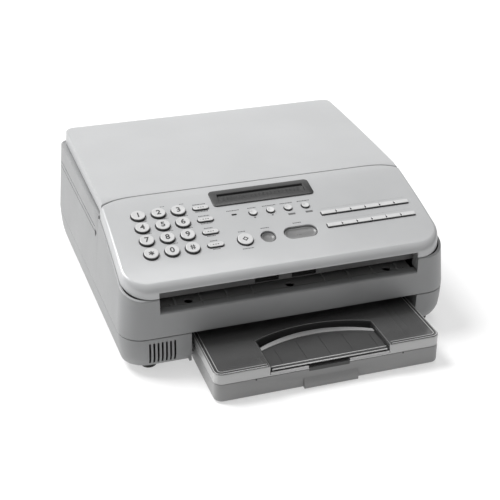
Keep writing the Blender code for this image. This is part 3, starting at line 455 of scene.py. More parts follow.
def block(outline, top, bottom, edge=None, foot=0.0, rows=(), heights=(), inset=None, taper=0.0,
          tucked=False, segments=5):
    """Solid over a plan outline whose top and underside are heights or curves along Y.

    edge gives the radius of the top edge for an outward direction, foot is the radius of the
    bottom edge. With an inset, the sides are stretched to follow the housing's.
    """
    outline = counter_clockwise(outline)
    inward = mitres(outline)
    radii = [edge(-direction.normalized()) if edge else 0.0 for direction in inward]
    rings = []
    for step in spread(90.0, 0.0, segments) if foot else [0.0]:
        turn = math.radians(step)
        pull, rise = foot * (1 - math.cos(turn)), foot * (1 - math.sin(turn))
        rings.append([(*(Vector(p) + d * pull), UNDERSIDE + rise) for p, d in zip(outline, inward)])
    for step in spread(0.0, 90.0, segments) if edge else [90.0]:
        turn = math.radians(step)
        rings.append([(*(Vector(p) + d * r * (1 - math.cos(turn))), -r * (1 - math.sin(turn)))
                      for p, d, r in zip(outline, inward, radii)])
    bm = skin(bmesh.new(), rings)
    slice_mesh(bm, "y", rows)
    for vertex in bm.verts:
        x, y, z = vertex.co
        low = z < UNDERSIDE / 2
        end = bottom if low else top
        vertex.co.z = (end(y) if callable(end) else end) + (z - UNDERSIDE if low else z)
    slice_mesh(bm, "z", heights)
    if tucked:
        middle = BODY_DEPTH / 2
        for vertex in bm.verts:
            vertex.co.y = middle + (vertex.co.y - middle) * (1 - front_tuck(vertex.co.z) / middle)
    if inset is not None:
        for vertex in bm.verts:
            wanted = half_width(vertex.co.y, vertex.co.z) - inset - taper * vertex.co.y / BODY_DEPTH
            vertex.co.x *= wanted / (HALF_WIDTH - inset)
    return bm


def front_tuck(z):
    """How far the base's front and rear curve in, with a steeper band along the bottom."""
    return tuck(z) + BAND_SLOPE * max(BAND_TOP - z, 0.0)


def even(radius):
    return lambda direction: radius


def extruded(outline, low, high, axes="xyz"):
    """Solid from a flat outline, drawn out along the last of three axes."""
    order = ["xyz".index(letter) for letter in axes]

    def placed(u, v, w):
        point = [0.0, 0.0, 0.0]
        for value, index in zip((u, v, w), order):
            point[index] = value
        return point

    outline = counter_clockwise(outline)
    return skin(bmesh.new(), [[placed(u, v, w) for u, v in outline] for w in (low, high)])


def rod(bm, start, end, radius, sides=32):
    """Add a round bar between two points to a mesh."""
    start, end = Vector(start), Vector(end)
    turn = (end - start).to_track_quat("Z", "Y").to_matrix().to_4x4()
    matrix = Matrix.Translation((start + end) / 2) @ turn
    bmesh.ops.create_cone(bm, cap_ends=True, segments=sides, radius1=radius, radius2=radius,
                          depth=(end - start).length, matrix=matrix)
    return bm


def brick(low, high):
    bm = bmesh.new()
    size = [b - a for a, b in zip(low, high)]
    centre = [(a + b) / 2 for a, b in zip(low, high)]
    matrix = Matrix.Translation(centre) @ Matrix.Diagonal((*size, 1.0))
    bmesh.ops.create_cube(bm, size=1.0, matrix=matrix)
    return bm


def rounded(bm, width):
    """Round the edges that turn by more than 30 degrees."""
    limit = math.radians(30.0)
    edges = [edge for edge in bm.edges if len(edge.link_faces) == 2 and edge.calc_face_angle() > limit]
    bmesh.ops.bevel(bm, geom=edges, offset=width, segments=2, profile=0.5, affect="EDGES",
                    clamp_overlap=True)
    return bm


def linked(name, data):
    """A new object in the scene."""
    thing = bpy.data.objects.new(name, data)
    bpy.context.scene.collection.objects.link(thing)
    return thing


def made(bm, name):
    """Turn a mesh in body millimetres into an object of the frame."""
    for vertex in bm.verts:
        vertex.co = at(*vertex.co)
    bmesh.ops.recalc_face_normals(bm, faces=bm.faces)
    mesh = bpy.data.meshes.new(name)
    bm.to_mesh(mesh)
    bm.free()
    return linked(name, mesh)


def evaluated_mesh(thing):
    """A new mesh of an object with its modifiers applied or its letters filled."""
    bpy.context.view_layer.update()
    evaluated = thing.evaluated_get(bpy.context.evaluated_depsgraph_get())
    return bpy.data.meshes.new_from_object(evaluated)


def apply_modifiers(piece):
    mesh = evaluated_mesh(piece)
    old = piece.data
    piece.modifiers.clear()
    piece.data = mesh
    bpy.data.meshes.remove(old)
    mesh.name = piece.name


def combine(target, bm, operation="DIFFERENCE"):
    """Cut a solid out of a piece, or join or intersect them."""
    tool = made(bm, "tool") if isinstance(bm, bmesh.types.BMesh) else bm
    modifier = target.modifiers.new(operation.title(), "BOOLEAN")
    modifier.operation = operation
    modifier.object = tool
    modifier.solver = "EXACT"
    apply_modifiers(target)
    bpy.data.objects.remove(tool)


def weld(target, solids):
    for bm in solids:
        combine(target, bm, "UNION")


def joined(solids):
    """Several separate solids in one mesh."""
    whole = bmesh.new()
    for bm in solids:
        mesh = bpy.data.meshes.new("part")
        bm.to_mesh(mesh)
        bm.free()
        whole.from_mesh(mesh)
        bpy.data.meshes.remove(mesh)
    return whole


def moved(bm, matrix):
    bm.transform(matrix)
    return bm


def settle(piece, look, body="root", stands_for=(), smooth=35.0):
    """Give a piece its finish, its shading and its body."""
    piece.data.materials.clear()
    piece.data.materials.append(LOOKS[look])
    piece.data.shade_smooth()
    piece.data.set_sharp_from_angle(angle=math.radians(smooth))
    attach(piece, body)
    if stands_for:
        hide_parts(*stands_for)


def settle_group(solids, name, look, body="root"):
    settle(made(joined(solids), name), look, body)


# ---------------- housing and base

def body_outline(inset):
    """Plan of the body, shrunk by an inset, at the width of its front."""
    front, rear = max(FRONT_CORNER - inset, 3.0), max(REAR_CORNER - inset, 3.0)
    return rounded_rectangle(-HALF_WIDTH + inset, HALF_WIDTH - inset, inset, BODY_DEPTH - inset,
                             front, rear, 12)


def make_housing():
    rows = spread(4.0, SKIRT_END, 16) + [SKIRT_END + 0.8] + spread(150.0, 335.0, 4)
    shell = made(block(body_outline(0.0), rim_z, BASE_TOP + SEAM, even(0.9), 0.9, rows, [WIDEST_Z],
                       0.0), "housing_shell")
    combine(shell, block(body_outline(WALL), 160.0, 30.0, heights=[WIDEST_Z], inset=WALL))
    ledge = made(block(body_outline(1.2), rim_z, lambda y: rim_z(y) - 3.0, inset=1.2,
                       rows=[SKIRT_END + 0.5, 160.0]), "ledge")
    combine(ledge, block(body_outline(LEDGE), 160.0, 60.0, inset=LEDGE))
    combine(ledge, brick((-200, -20, 60), (200, SKIRT_END + 1.5, 180)))
    for vertex in ledge.data.vertices:
        vertex.co.z -= LEDGE_DROP * MM
    combine(shell, ledge, "UNION")
    lip = [(0.0, SLOT_BOTTOM - 3.0), (0.0, SLOT_BOTTOM), (0.3, 71.1), (1.0, 71.7), (2.2, 72.2),
           (4.2, 72.7), (9.4, 73.3), (9.4, 71.2), (2.8, 68.0)]
    combine(shell, brick((-SLOT_HALF, -5.0, SLOT_BOTTOM), (SLOT_HALF, 6.0, 108.0)))
    combine(shell, extruded(lip, -SLOT_HALF - 0.5, SLOT_HALF + 0.5, "yzx"), "UNION")
    combine(shell, joined([brick((left, BODY_DEPTH - 8, bottom), (right, BODY_DEPTH + 5, top))
                           for left, right, bottom, top in (EXIT_OPENING, INLET_OPENING, JACK_OPENING)]))
    combine(shell, joined(side_grooves()))
    settle(shell, "housing", stands_for=["main_housing"])


def side_grooves():
    """Two shallow grooves high on each side, ending in a small arrow-shaped notch."""
    solids = []
    for side in (-1, 1):
        for height in (104.3, 109.6):
            band = [(y, half_width(y, height)) for y in spread(140.0, BODY_DEPTH - 17.0, 4)]
            outer = [(y, side * (x + 3.0)) for y, x in band]
            inner = [(y, side * (x - 1.0)) for y, x in reversed(band)]
            solids.append(extruded(outer + inner, height - 0.7, height + 0.7, "yxz"))
        wall = side * half_width(134.0, 104.0)
        arrow = [(129.5, 106.4), (139.5, 108.2), (136.4, 99.4)]
        solids.append(extruded(arrow, *sorted((wall + side * 2.0, wall - side * 1.3)), "yzx"))
    return solids


def make_base():
    heights = [11.0, 14.0, 17.0, 20.0, 24.0, 29.0, 36.0]
    base = made(block(body_outline(0.0), BASE_TOP, BASE_BOTTOM, even(0.9), 0.9, heights=heights,
                      inset=0.0, tucked=True), "base_shell")
    combine(base, block(body_outline(WALL), 60.0, BASE_BOTTOM + WALL, heights=heights, inset=WALL,
                        tucked=True))
    left, right = BAY_LEFT - WALL, BAY_RIGHT + WALL
    combine(base, brick((left, WALL + 1.0, BASE_BOTTOM), (right, BAY_REAR + WALL, DECK_TOP)), "UNION")
    combine(base, brick((BAY_LEFT, -20.0, -5.0), (BAY_RIGHT, BAY_REAR, DECK_TOP - WALL)))
    ribs = [((BAY_LEFT - 1.0, 6.0, 14.5), (BAY_LEFT + 3.4, 250.0, 18.0)),
            ((BAY_RIGHT - 3.4, 6.0, 14.5), (BAY_RIGHT + 1.0, 250.0, 18.0)),
            ((146.6, MOTOR[0] - 17.0, BASE_BOTTOM + 1.0), (149.0, MOTOR[0] + 17.0, MOTOR[1] + 17.0))]
    ribs += [((x - 1.5, 190.0, DECK_TOP - 1.0), (x + 1.5, BAY_REAR, 118.0))
             for x in (TRAY_X - PRINT_HALF, TRAY_X + PRINT_HALF)]
    weld(base, [brick(low, high) for low, high in ribs])
    vents = []
    for slot in range(7):
        x = VENT_FIRST_X + VENT_PITCH * slot
        outline = arc((x, 37.5), VENT_HALF, 0, 180, 8) + [(x - VENT_HALF, 13.0), (x + VENT_HALF, 13.0)]
        vents.append(extruded(outline, -3.0, 9.0, "xzy"))
    combine(base, joined(vents))
    shafts = bmesh.new()
    rod(shafts, (left, *PLATEN), (right, *PLATEN), 4.4)
    rod(shafts, (left - 2, *PICKUP), (right + 2, *PICKUP), 3.4)
    rod(shafts, (146.0, *MOTOR), (150.0, *MOTOR), 3.2)
    combine(base, shafts)
    settle(base, "base", stands_for=["base_chassis"])
    for index, (x, y) in enumerate(FEET):
        pad = risen(round_outline(FOOT_RADIUS), [(-0.7, 0.0), (0.0, 0.7), (0.0, 8.0), (-0.4, 8.3)])
        settle(made(moved(pad, Matrix.Translation((x, y, 0.0))), f"foot_pad_{index + 1}"), "rubber")


# ---------------- control panel

def panel_edge(outward):
    """Radius of the panel's top edge: a full nose at the front, less at the sides."""
    front, rear = max(-outward.y, 0.0) ** 2, max(outward.y, 0.0) ** 4
    return NOSE_RADIUS * front + 0.5 * rear + 3.4 * (1 - front - rear)


def make_panel():
    reach = HALF_WIDTH - PANEL_INSET
    rows = spread(3.0, PANEL_REAR.x - 0.5, 30)
    plan = (arc((-reach + 30, 31.0), 30, 180, 270, 14) + arc((reach - 30, 31.0), 30, 270, 360, 14)
            + seam_line(reach))
    shell = made(block(plan, panel_z, lambda y: panel_z(y) - SKIRT, panel_edge, 0.6, rows,
                       inset=PANEL_INSET, segments=8), "control_panel_shell")
    inner = reach - PANEL_WALL
    plan = (arc((-inner + 28, 32.0), 28, 180, 270, 14) + arc((inner - 28, 32.0), 28, 270, 360, 14)
            + [(inner, 150.0), (-inner, 150.0)])
    combine(shell, block(plan, lambda y: panel_z(min(y, 150.0)) - PANEL_WALL, 50.0, even(2.0),
                         rows=spread(8.0, 146.0, 20), inset=PANEL_INSET + PANEL_WALL))
    rear = spread(SKIRT_END, 150.0, 4)
    under = [(SKIRT_END, 60.0), (150.0, 60.0)] + [(y, panel_z(y) - PANEL_WALL) for y in reversed(rear)]
    combine(shell, extruded(under, -200.0, 200.0, "yzx"))
    combine(shell, joined(panel_holes()))
    combine(shell, brick((-SLOT_HALF, -8.0, 70.0), (SLOT_HALF, 10.5, SLOT_TOP)))
    settle(shell, "panel", "panel", ["control_panel"], 30.0)


def hole(outline, clearance, x, s, chamfer=0.25):
    """Cutter for a through hole with a chamfer at the surface."""
    profile = [(clearance, -12.0), (clearance, -chamfer), (clearance + chamfer + 1.0, 1.0)]
    return moved(risen(outline, profile), on_panel(x, s))


def key_places():
    """Outline, clearance and place of every key that has its own hole; two have a wider chamfer."""
    places = [(round_outline(NUMBER_RADIUS), 0.8, x, s) for s in KEY_ROWS for x in NUMBER_COLUMNS]
    places += [(slot_outline(*SIDE_KEY_SIZE), 0.7, SIDE_KEY_X, s) for s in KEY_ROWS]
    places += [(round_outline(FUNCTION_KEY_RADIUS), 0.7, x, FUNCTION_KEY_S) for x in FUNCTION_KEY_X]
    places.append((round_outline(MEMORY_RADIUS), 0.7, *MEMORY_KEY))
    places.append((round_outline(RESET_RADIUS), 0.8, *RESET_KEY, 0.4))
    places.append((slot_outline(*START_KEY_SIZE), 0.9, *START_KEY, 0.5))
    return places


def panel_holes():
    solids = [hole(*place) for place in key_places()]
    middle = ONE_TOUCH_FIRST_X + 2.5 * ONE_TOUCH_PITCH
    strip = soft_rectangle(6 * ONE_TOUCH_PITCH + 0.6, ONE_TOUCH_DEPTH + 1.2, 1.0)
    solids += [hole(strip, 0.0, middle, s, 0.15) for s in ONE_TOUCH_ROWS]
    opening = soft_rectangle(DISPLAY_SIZE[0] - 6, DISPLAY_SIZE[1] - 6, 1.0)
    solids.append(moved(extruded(opening(), -12.0, 6.0), on_panel(*DISPLAY_CENTRE)))
    return solids


# ---------------- keys

def key_cap(outline, height, edge=0.8, dish=0.25):
    """A key on its wider foot, with a rounded edge and a slightly dished top."""
    profile = [(1.2, -8.5), (1.2, -3.3), (1.0, -3.0), (0.0, -3.0)]
    for step in spread(0.0, 90.0, 5):
        turn = math.radians(step)
        profile.append((-edge * (1 - math.cos(turn)), height - edge * (1 - math.sin(turn))))
    profile += [(-edge - 0.9, height - dish * 0.45), (-edge - 1.9, height - dish * 0.8),
                (-edge - 3.0, height - dish)]
    return risen(outline, profile)


def paint_key_wall_shade(cap, up):
    """Paint shade on a key's upright wall and its foot with a darker colour."""
    cap.data.materials.append(LOOKS["skirt"])
    for face in cap.data.polygons:
        if face.normal.dot(up) < 0.3:
            face.material_index = 1


def make_key(name, outline, x, s, height, look="key", edge=0.8, dish=0.25, notches=None):
    place = on_panel(x, s)
    cap = made(moved(key_cap(outline, height, edge, dish), place), name + "_cap")
    if notches:
        combine(cap, moved(notches, place))
    settle(cap, look, name + "_body", [name], 40.0)
    paint_key_wall_shade(cap, place.col[2].to_3d())


def make_digit(name, text, x, s, height, size):
    """A printed figure on a key, a hair above its top."""
    curve = bpy.data.curves.new(name, "FONT")
    curve.body = text
    curve.size = size
    curve.extrude = 0.05
    curve.offset = 0.24
    curve.align_x = "CENTER"
    curve.align_y = "CENTER"
    holder = linked(name, curve)
    mesh = evaluated_mesh(holder)
    bpy.data.objects.remove(holder)
    bm = bmesh.new()
    bm.from_mesh(mesh)
    bpy.data.meshes.remove(mesh)
    bmesh.ops.remove_doubles(bm, verts=bm.verts, dist=0.0005)
    settle(made(moved(bm, on_panel(x, s, height)), name), "ink", name.rsplit("_", 1)[0] + "_body")


def make_hash(name, x, s, height):
    """The crossed bars of the key at the lower right."""
    bars = [soft_rectangle(0.95, 6.8, 0.1, 2)(), soft_rectangle(5.2, 0.95, 0.1, 2)()]
    solids = [extruded([(u + shift, v) for u, v in bars[0]], 0.0, 0.10) for shift in (-1.15, 1.15)]
    solids += [extruded([(u, v + shift) for u, v in bars[1]], 0.0, 0.08) for shift in (-1.2, 1.2)]
    settle(made(moved(joined(solids), on_panel(x, s, height)), name), "ink", "key_hash_body")


def make_keys():
    names = ["key_star", "key_0", "key_hash"] + [f"key_{n}" for n in (7, 8, 9, 4, 5, 6, 1, 2, 3)]
    figures = "*0#789456123"
    spots = [(x, s) for s in KEY_ROWS for x in NUMBER_COLUMNS]
    for name, figure, (x, s) in zip(names, figures, spots):
        make_key(name, round_outline(NUMBER_RADIUS), x, s, NUMBER_HEIGHT)
        if figure == "#":
            make_hash(name + "_figure", x, s, FIGURE_HEIGHT)
            continue
        size, drop = (12.5, 2.6) if figure == "*" else (9.8, 0.0)
        make_digit(name + "_figure", figure, x, s - drop, FIGURE_HEIGHT, size)
    for index, s in enumerate(reversed(KEY_ROWS)):
        outline = slot_outline(*SIDE_KEY_SIZE)
        make_key(f"side_key_{index + 1}", outline, SIDE_KEY_X, s, SMALL_HEIGHT, edge=0.7, dish=0.12)
        top = SMALL_HEIGHT - 0.05
        dots = [patch(SIDE_KEY_X + x, s, 1.6, 1.1, top - 0.2, top) for x in (-2.6, 0.0, 2.6)]
        settle_group(dots, f"side_key_{index + 1}_mark", "faint_ink", f"side_key_{index + 1}_body")
    for index, x in enumerate(FUNCTION_KEY_X):
        outline = round_outline(FUNCTION_KEY_RADIUS, 32)
        name = f"function_key_{index + 1}"
        make_key(name, outline, x, FUNCTION_KEY_S, SMALL_HEIGHT, edge=0.6, dish=0.6)
    make_key("memory_key", round_outline(MEMORY_RADIUS), *MEMORY_KEY, MEMORY_HEIGHT)
    make_key("reset_key", round_outline(RESET_RADIUS), *RESET_KEY, RESET_HEIGHT, "grey_key", dish=1.6)
    make_key("start_key", slot_outline(*START_KEY_SIZE), *START_KEY, START_HEIGHT, "grey_key", dish=1.2)
    make_one_touch_keys()


def make_one_touch_keys():
    """Two rows of narrow keys with a small round notch between each two neighbours."""
    outline = soft_rectangle(ONE_TOUCH_PITCH - 0.5, ONE_TOUCH_DEPTH, 0.5)
    for index in range(12):
        row, column = divmod(index, 6)
        notches = bmesh.new()
        for side, last in ((-1, 0), (1, 5)):
            if column != last:
                x = side * ONE_TOUCH_PITCH / 2
                rod(notches, (x, -0.4, -1.5), (x, -0.4, 4.0), 1.0, 20)
        make_key(f"one_touch_key_{index + 1:02d}", outline, ONE_TOUCH_FIRST_X + ONE_TOUCH_PITCH * column,
                 ONE_TOUCH_ROWS[1 - row], SMALL_HEIGHT, edge=0.6, dish=0.1, notches=notches)


# ---------------- display and marks

def patch(x, s, width, depth, low=MARK_LOW, high=MARK_HIGH, corner=0.15):
    """A small raised patch that lies on the panel's surface."""
    outline = soft_rectangle(width, depth, corner, 3)
    return moved(risen(outline, [(0.0, low), (0.0, high)]), on_panel(x, s))


def make_display():
    """The dark frame of the display, its pane and a row of plain character cells."""
    outer = soft_rectangle(*DISPLAY_SIZE, DISPLAY_CORNER)
    rim = risen(outer, [(0.0, 0.25), (0.0, 0.6), (-0.25, 1.0), (-0.7, 1.2)])
    bezel = made(moved(rim, on_panel(*DISPLAY_CENTRE)), "display_frame")
    body = soft_rectangle(DISPLAY_SIZE[0] - 6.8, DISPLAY_SIZE[1] - 6.8, 0.8)
    combine(bezel, moved(extruded(body(), -5.5, 0.8), on_panel(*DISPLAY_CENTRE)), "UNION")
    window = risen(soft_rectangle(*WINDOW_SIZE, 0.8), [(0.0, -10.0), (0.0, 0.6), (1.4, 2.0)])
    combine(bezel, moved(window, on_panel(*WINDOW_CENTRE)))
    settle(bezel, "dark", "panel", ["display_bezel"])
    pane = extruded(soft_rectangle(WINDOW_SIZE[0] - 0.4, WINDOW_SIZE[1] - 0.4, 0.8)(), -4.8, -0.9)
    settle(made(moved(pane, on_panel(*WINDOW_CENTRE)), "display_pane"), "glass", "panel",
           ["display_module"])
    cells = []
    for column in range(CELLS):
        x = WINDOW_CENTRE[0] + (column - (CELLS - 1) / 2) * CELL_PITCH
        cells.append(patch(x, WINDOW_CENTRE[1] - 1.3, 2.5 + column % 3 * 0.5, 6.0, -1.0, -0.82))
    settle_group(cells, "display_cells", "cells", "panel")


def legend(x, s, width, depth=1.2):
    """A row of plain blocks that stands where the panel carries a printed word."""
    blocks, left = [], x - width / 2
    for size in (1.5, 1.0, 1.3, 0.8) * 5:
        if left + size <= x + width / 2 + 0.2:
            blocks.append(patch(left + size / 2, s, size, depth))
        left += size + 0.4
    return blocks


UNLABELLED = ((0, 0), (0, 2), (3, 0))     # rows and columns of the number keys without a legend


def make_marks():
    """Plain marks where the panel carries legends, lines and lamps."""
    lines = [patch(106.5, s + 8.0, 97.0, 0.35) for s in ONE_TOUCH_ROWS]
    settle_group(lines, "one_touch_lines", "line_ink", "panel")
    words = []
    for row, s in enumerate(KEY_ROWS):
        for column, x in enumerate(NUMBER_COLUMNS):
            if (row, column) not in UNLABELLED:
                words += legend(x + 6.6, s + 11.4, 3.6 + column, 0.9)
        width = 8.5 + 2.0 * row
        words += legend(SIDE_KEY_X, s + 7.0, width) + legend(SIDE_KEY_X, s - 5.2, width)
    for x, width in zip(FUNCTION_KEY_X, (9.0, 15.6, 15.0, 15.0)):
        words += legend(x + 0.6, 87.2, width)
    words += legend(-37.2, 87.0, 14.0)
    words += legend(MEMORY_KEY[0], 52.9, 8.5) + legend(MEMORY_KEY[0], 27.6, 13.0)
    words += legend(RESET_KEY[0], 53.4, 9.5) + legend(START_KEY[0], 54.2, 9.5)
    settle_group(words, "legend_blocks", "faint_ink", "panel")
    marks = [patch(x, 71.6, 2.2, 2.2, corner=1.0) for x in FUNCTION_KEY_X[:2]]
    marks += [patch(x + 1.0, 68.9, 8.0, 2.8, corner=0.5) for x in FUNCTION_KEY_X[2:]]
    settle_group(marks, "function_marks", "mark_ink", "panel")
    lamp = patch(-37.5, 80.2, 5.6, 2.0, high=0.35, corner=0.7)
    settle(made(lamp, "memory_lamp"), "lamp", "panel")
    top = MEMORY_HEIGHT - 0.22
    diamond = [(u * 3.3, v * 3.3) for u, v in ((1, 0), (0, 1), (-1, 0), (0, -1))]
    mark = made(moved(extruded(diamond, 0.0, 0.1), on_panel(*MEMORY_KEY, top)), "memory_mark")
    inner = [(u * 0.55, v * 0.55) for u, v in diamond]
    combine(mark, moved(extruded(inner, -1.0, 1.0), on_panel(*MEMORY_KEY, top)))
    settle(mark, "ink", "memory_key_body")
    dots = joined([extruded(arc((x, 0.0), 0.45, 0, 315, 7), 0.0, 0.1) for x in (-2.0, 0.0, 2.0)])
    place = on_panel(START_KEY[0] - 2.2, START_KEY[1] - 1.4, START_HEIGHT - 1.2)
    settle(made(moved(dots, place), "start_mark"), "ink", "start_key_body")


# ---------------- document path

def make_guides():
    """The ribbed plate that carries the original, and the short ribs on the slot's lip."""
    lower = [(9.8, 73.3), (30.0, 74.6), (128.0, 79.6), (128.0, 77.4), (30.0, 72.4), (9.8, 71.2)]
    guide = made(extruded(lower, -GUIDE_HALF, GUIDE_HALF, "yzx"), "lower_guide_plate")
    rib = [(10.2, 72.0), (10.2, 73.9), (16.0, 75.6), (30.0, 76.6), (48.0, 77.2), (48.0, 73.0)]
    solids = [extruded(rib, x - 0.7, x + 0.7, "yzx") for x in RIB_PLACES]
    for side in (-1, 1):
        x = side * (GUIDE_HALF - 1.3)
        solids.append(brick((x - 1.3, 46.0, 58.0), (x + 1.3, 127.0, 82.0)))
        solids.append(brick((x - 1.3, 70.0, DECK_TOP + SEAM), (x + 1.3, 112.0, 59.0)))
    solids.append(rod(bmesh.new(), (GUIDE_HALF - 1.0, *IDLER_GEAR), (147.0, *IDLER_GEAR), 2.6))
    weld(guide, solids)
    windows = [brick((-131.0, y - 9.0, 70.0), (131.0, y + reach, 90.0))
               for y, reach in ((FEED_ROLLER[0], 9.0), (EXIT_ROLLER[0], 5.0))]
    windows.append(brick((-128.0, 85.0, 70.0), (128.0, 94.0, 90.0)))
    combine(guide, joined(windows))
    cutters = bmesh.new()
    for axis in (FEED_ROLLER, EXIT_ROLLER):
        rod(cutters, (-150.0, *axis), (150.0, *axis), 3.4)
    for x in (-108.0, 1.5, 110.5):
        rod(cutters, (x, 14.4, 60.0), (x, 14.4, 90.0), 4.6)
    for x in (-128.5, 128.5):
        rod(cutters, (x, 11.8, 60.0), (x, 11.8, 90.0), 1.6, 20)
    combine(guide, cutters)
    settle(guide, "path", stands_for=["lower_document_guide"])
    rib = [(1.6, 71.6), (5.0, 73.5), (9.6, 74.3), (9.6, 73.0), (5.0, 72.5)]
    lip_ribs = [extruded(rib, x - 1.9 + shift, x - 1.2 + shift, "yzx")
                for x in RIB_PLACES if abs(x) < 100.0 for shift in (0.0, 3.0)]
    settle_group(lip_ribs, "slot_lip_ribs", "housing")
    make_lead_in()


def make_lead_in():
    """Strip that guides the paper down into the slot, with two windows near its middle."""
    profile = [(10.2, 94.0), (11.4, 94.0), (12.6, 83.2), (11.4, 82.8)]
    reach = SLOT_HALF - 0.8
    strip = made(extruded(profile, -reach, reach, "yzx"), "lead_in_strip")
    combine(strip, joined([brick((low, 5.0, 83.4), (high, 20.0, 93.0))
                           for low, high in ((-38.0, -12.0), (2.0, 29.0))]))
    settle(strip, "lead_in", "panel")
    cheeks = [brick((x - 0.4, 3.0, 74.4), (x + 0.4, 13.0, 94.0)) for x in (-SLOT_HALF, SLOT_HALF)]
    settle_group(cheeks, "slot_end_cheeks", "path", "panel")


def finish_inner_pieces():
    """Frame pieces that keep their shape get a finer surface."""
    looks = {
        "guide": ["upper_document_guide", "image_sensor"],
        "board": ["main_board", "panel_board"],
        "metal": ["power_supply", "drive_motor"],
        "dark": ["power_inlet", "line_jack", "print_cartridge"],
        "rubber": ["document_feed_roller", "document_exit_roller", "platen_roller", "pickup_roller"],
        "gear": ["roller_drive_gear"],
    }
    for look, nodes in looks.items():
        for node in nodes:
            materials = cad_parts[node].data.materials
            materials.clear()
            materials.append(LOOKS[look])


# ---------------- cover

def cover_edge(outward):
    """Radius of the cover's top edge: full at the rear, small at the seam."""
    front, rear = max(-outward.y, 0.0) ** 4, max(outward.y, 0.0) ** 2
    return 0.5 * front + 5.0 * rear + 2.6 * (1 - front - rear)


def cover_bottom(y):
    return RIM_FRONT + (RIM_REAR - RIM_FRONT) * y / BODY_DEPTH + 0.6


def make_cover():
    reach = HALF_WIDTH - COVER_INSET
    rear = COVER_REAR
    plan = (seam_line(reach, SEAM_GAP, COVER_SHARE) + arc((-reach + 12, rear - 12), 12, 180, 90, 10)
            + arc((reach - 12, rear - 12), 12, 90, 0, 10))
    rows = spread(PANEL_REAR.x + 1.5, rear - 2.0, 26)
    shell = made(block(plan, cover_z, cover_bottom, cover_edge, 0.6, rows, inset=COVER_INSET,
                       taper=COVER_TAPER, segments=7), "top_cover_shell")
    inner = reach - WALL
    plan = rounded_rectangle(-inner, inner, 138.5, rear - WALL, 6.0, 10.0)
    combine(shell, block(plan, lambda y: cover_z(y) - WALL, 100.0, even(2.0),
                         rows=spread(142.0, rear - 6.0, 20), inset=COVER_INSET + WALL, taper=COVER_TAPER))
    settle(shell, "cover", "cover", ["top_cover"], 30.0)


# ---------------- cassette

def cassette_outline(inset, rear=TRAY_REAR, corner=9.0):
    corner = max(corner - inset, 1.5)
    return rounded_rectangle(TRAY_LEFT + inset, TRAY_RIGHT - inset, TRAY_FRONT + inset, rear - inset,
                             corner, min(corner, 3.0))


def make_cassette():
    """The tray with its wedge-shaped grip and a runner along each side."""
    tray = made(block(cassette_outline(0.0), TRAY_TOP, TRAY_BOTTOM, even(0.5), 2.2), "cassette_tray")
    wedge = [(-3.0, TRAY_BOTTOM), (-3.0, 4.5), (-2.4, 7.0), (-0.6, 12.0), (1.0, 15.0), (1.0, TRAY_BOTTOM)]
    grip = extruded([(TRAY_FRONT + y, z) for y, z in wedge], TRAY_X - 29.0, TRAY_X + 29.0, "yzx")
    sides = ((TRAY_LEFT - 3.2, TRAY_LEFT + 1.0), (TRAY_RIGHT - 1.0, TRAY_RIGHT + 3.2))
    runners = [brick((low, 14.0, 18.6), (high, 244.0, TRAY_TOP - 0.6)) for low, high in sides]
    weld(tray, [grip, *runners])
    combine(tray, block(cassette_outline(WALL), 60.0, TRAY_BOTTOM + 2.0))
    settle(tray, "cassette", "cassette", ["paper_cassette"])


def fan(half, front, depth, sag):
    """Fan-shaped outline with a straight front and an arched rear edge."""
    radius = (half ** 2 + sag ** 2) / (2 * sag)
    reach = math.degrees(math.asin(half / radius))
    back = arc((TRAY_X, front + depth - radius), radius, 90 - reach, 90 + reach, 32)
    return [(TRAY_X - half, front), (TRAY_X + half, front), *back]


def make_cassette_cover():
    """The clear lid over the cassette's front, with the well of the stopper and its small parts, among
    them a patch of painted shade and bars of painted highlight.
    """
    low = TRAY_TOP + SEAM
    cover = made(block(cassette_outline(0.0, LID_REAR), LID_TOP, low, even(1.6), 0.3), "cassette_lid")
    combine(cover, block(cassette_outline(2.0, LID_REAR), LID_TOP - 2.0, low - 5.0))
    combine(cover, extruded(fan(NOTCH_HALF, TRAY_FRONT - 5.0, 69.0, 14.0), low + 1.5, 60.0))
    settle(cover, "smoked", "cassette", ["cassette_cover"])
    make_lid_edges()
    well = made(extruded(fan(NOTCH_HALF - 0.1, TRAY_FRONT + 2.2, 61.7, 14.0), 24.0, LID_TOP - 0.6),
                "lid_well")
    combine(well, extruded(fan(NOTCH_HALF - 1.1, TRAY_FRONT + 1.2, 61.7, 14.0), 20.0, 40.0))
    combine(well, brick((-80.0, TRAY_FRONT - 2.0, 20.0), (120.0, TRAY_FRONT + 6.0, 27.0)))
    settle(well, "well", "cassette")
    # A dark slab on the front wall: painted shade standing for the shadow in a finger recess.
    grip = extruded(rounded_rectangle(TRAY_X - 23.5, TRAY_X + 20.0, 19.4, 23.2, 0.6, 0.6, 3),
                    TRAY_FRONT - 0.25, TRAY_FRONT + 1.0, "xzy")
    settle(made(grip, "finger_recess_shade"), "dark", "cassette")
    pips = [extruded(arc((TRAY_X + x, TRAY_TOP - 0.8), 0.9, 0, 345, 23), TRAY_FRONT - 0.2,
                     TRAY_FRONT + 1.0, "xzy") for x in (-79.0, 79.0)]
    settle_group(pips, "catch_pips", "dark", "cassette")
    # Light bars at the notch's front: painted highlight on the lid's front wall.
    sills = [brick((TRAY_X + left, TRAY_FRONT + 0.1, 22.0), (TRAY_X + right, TRAY_FRONT + 1.5, 25.4))
             for left, right in ((-NOTCH_HALF + 0.6, -24.0), (20.5, NOTCH_HALF - 0.6))]
    settle_group(sills, "lid_notch_sill_highlights", "lid_highlight", "cassette")


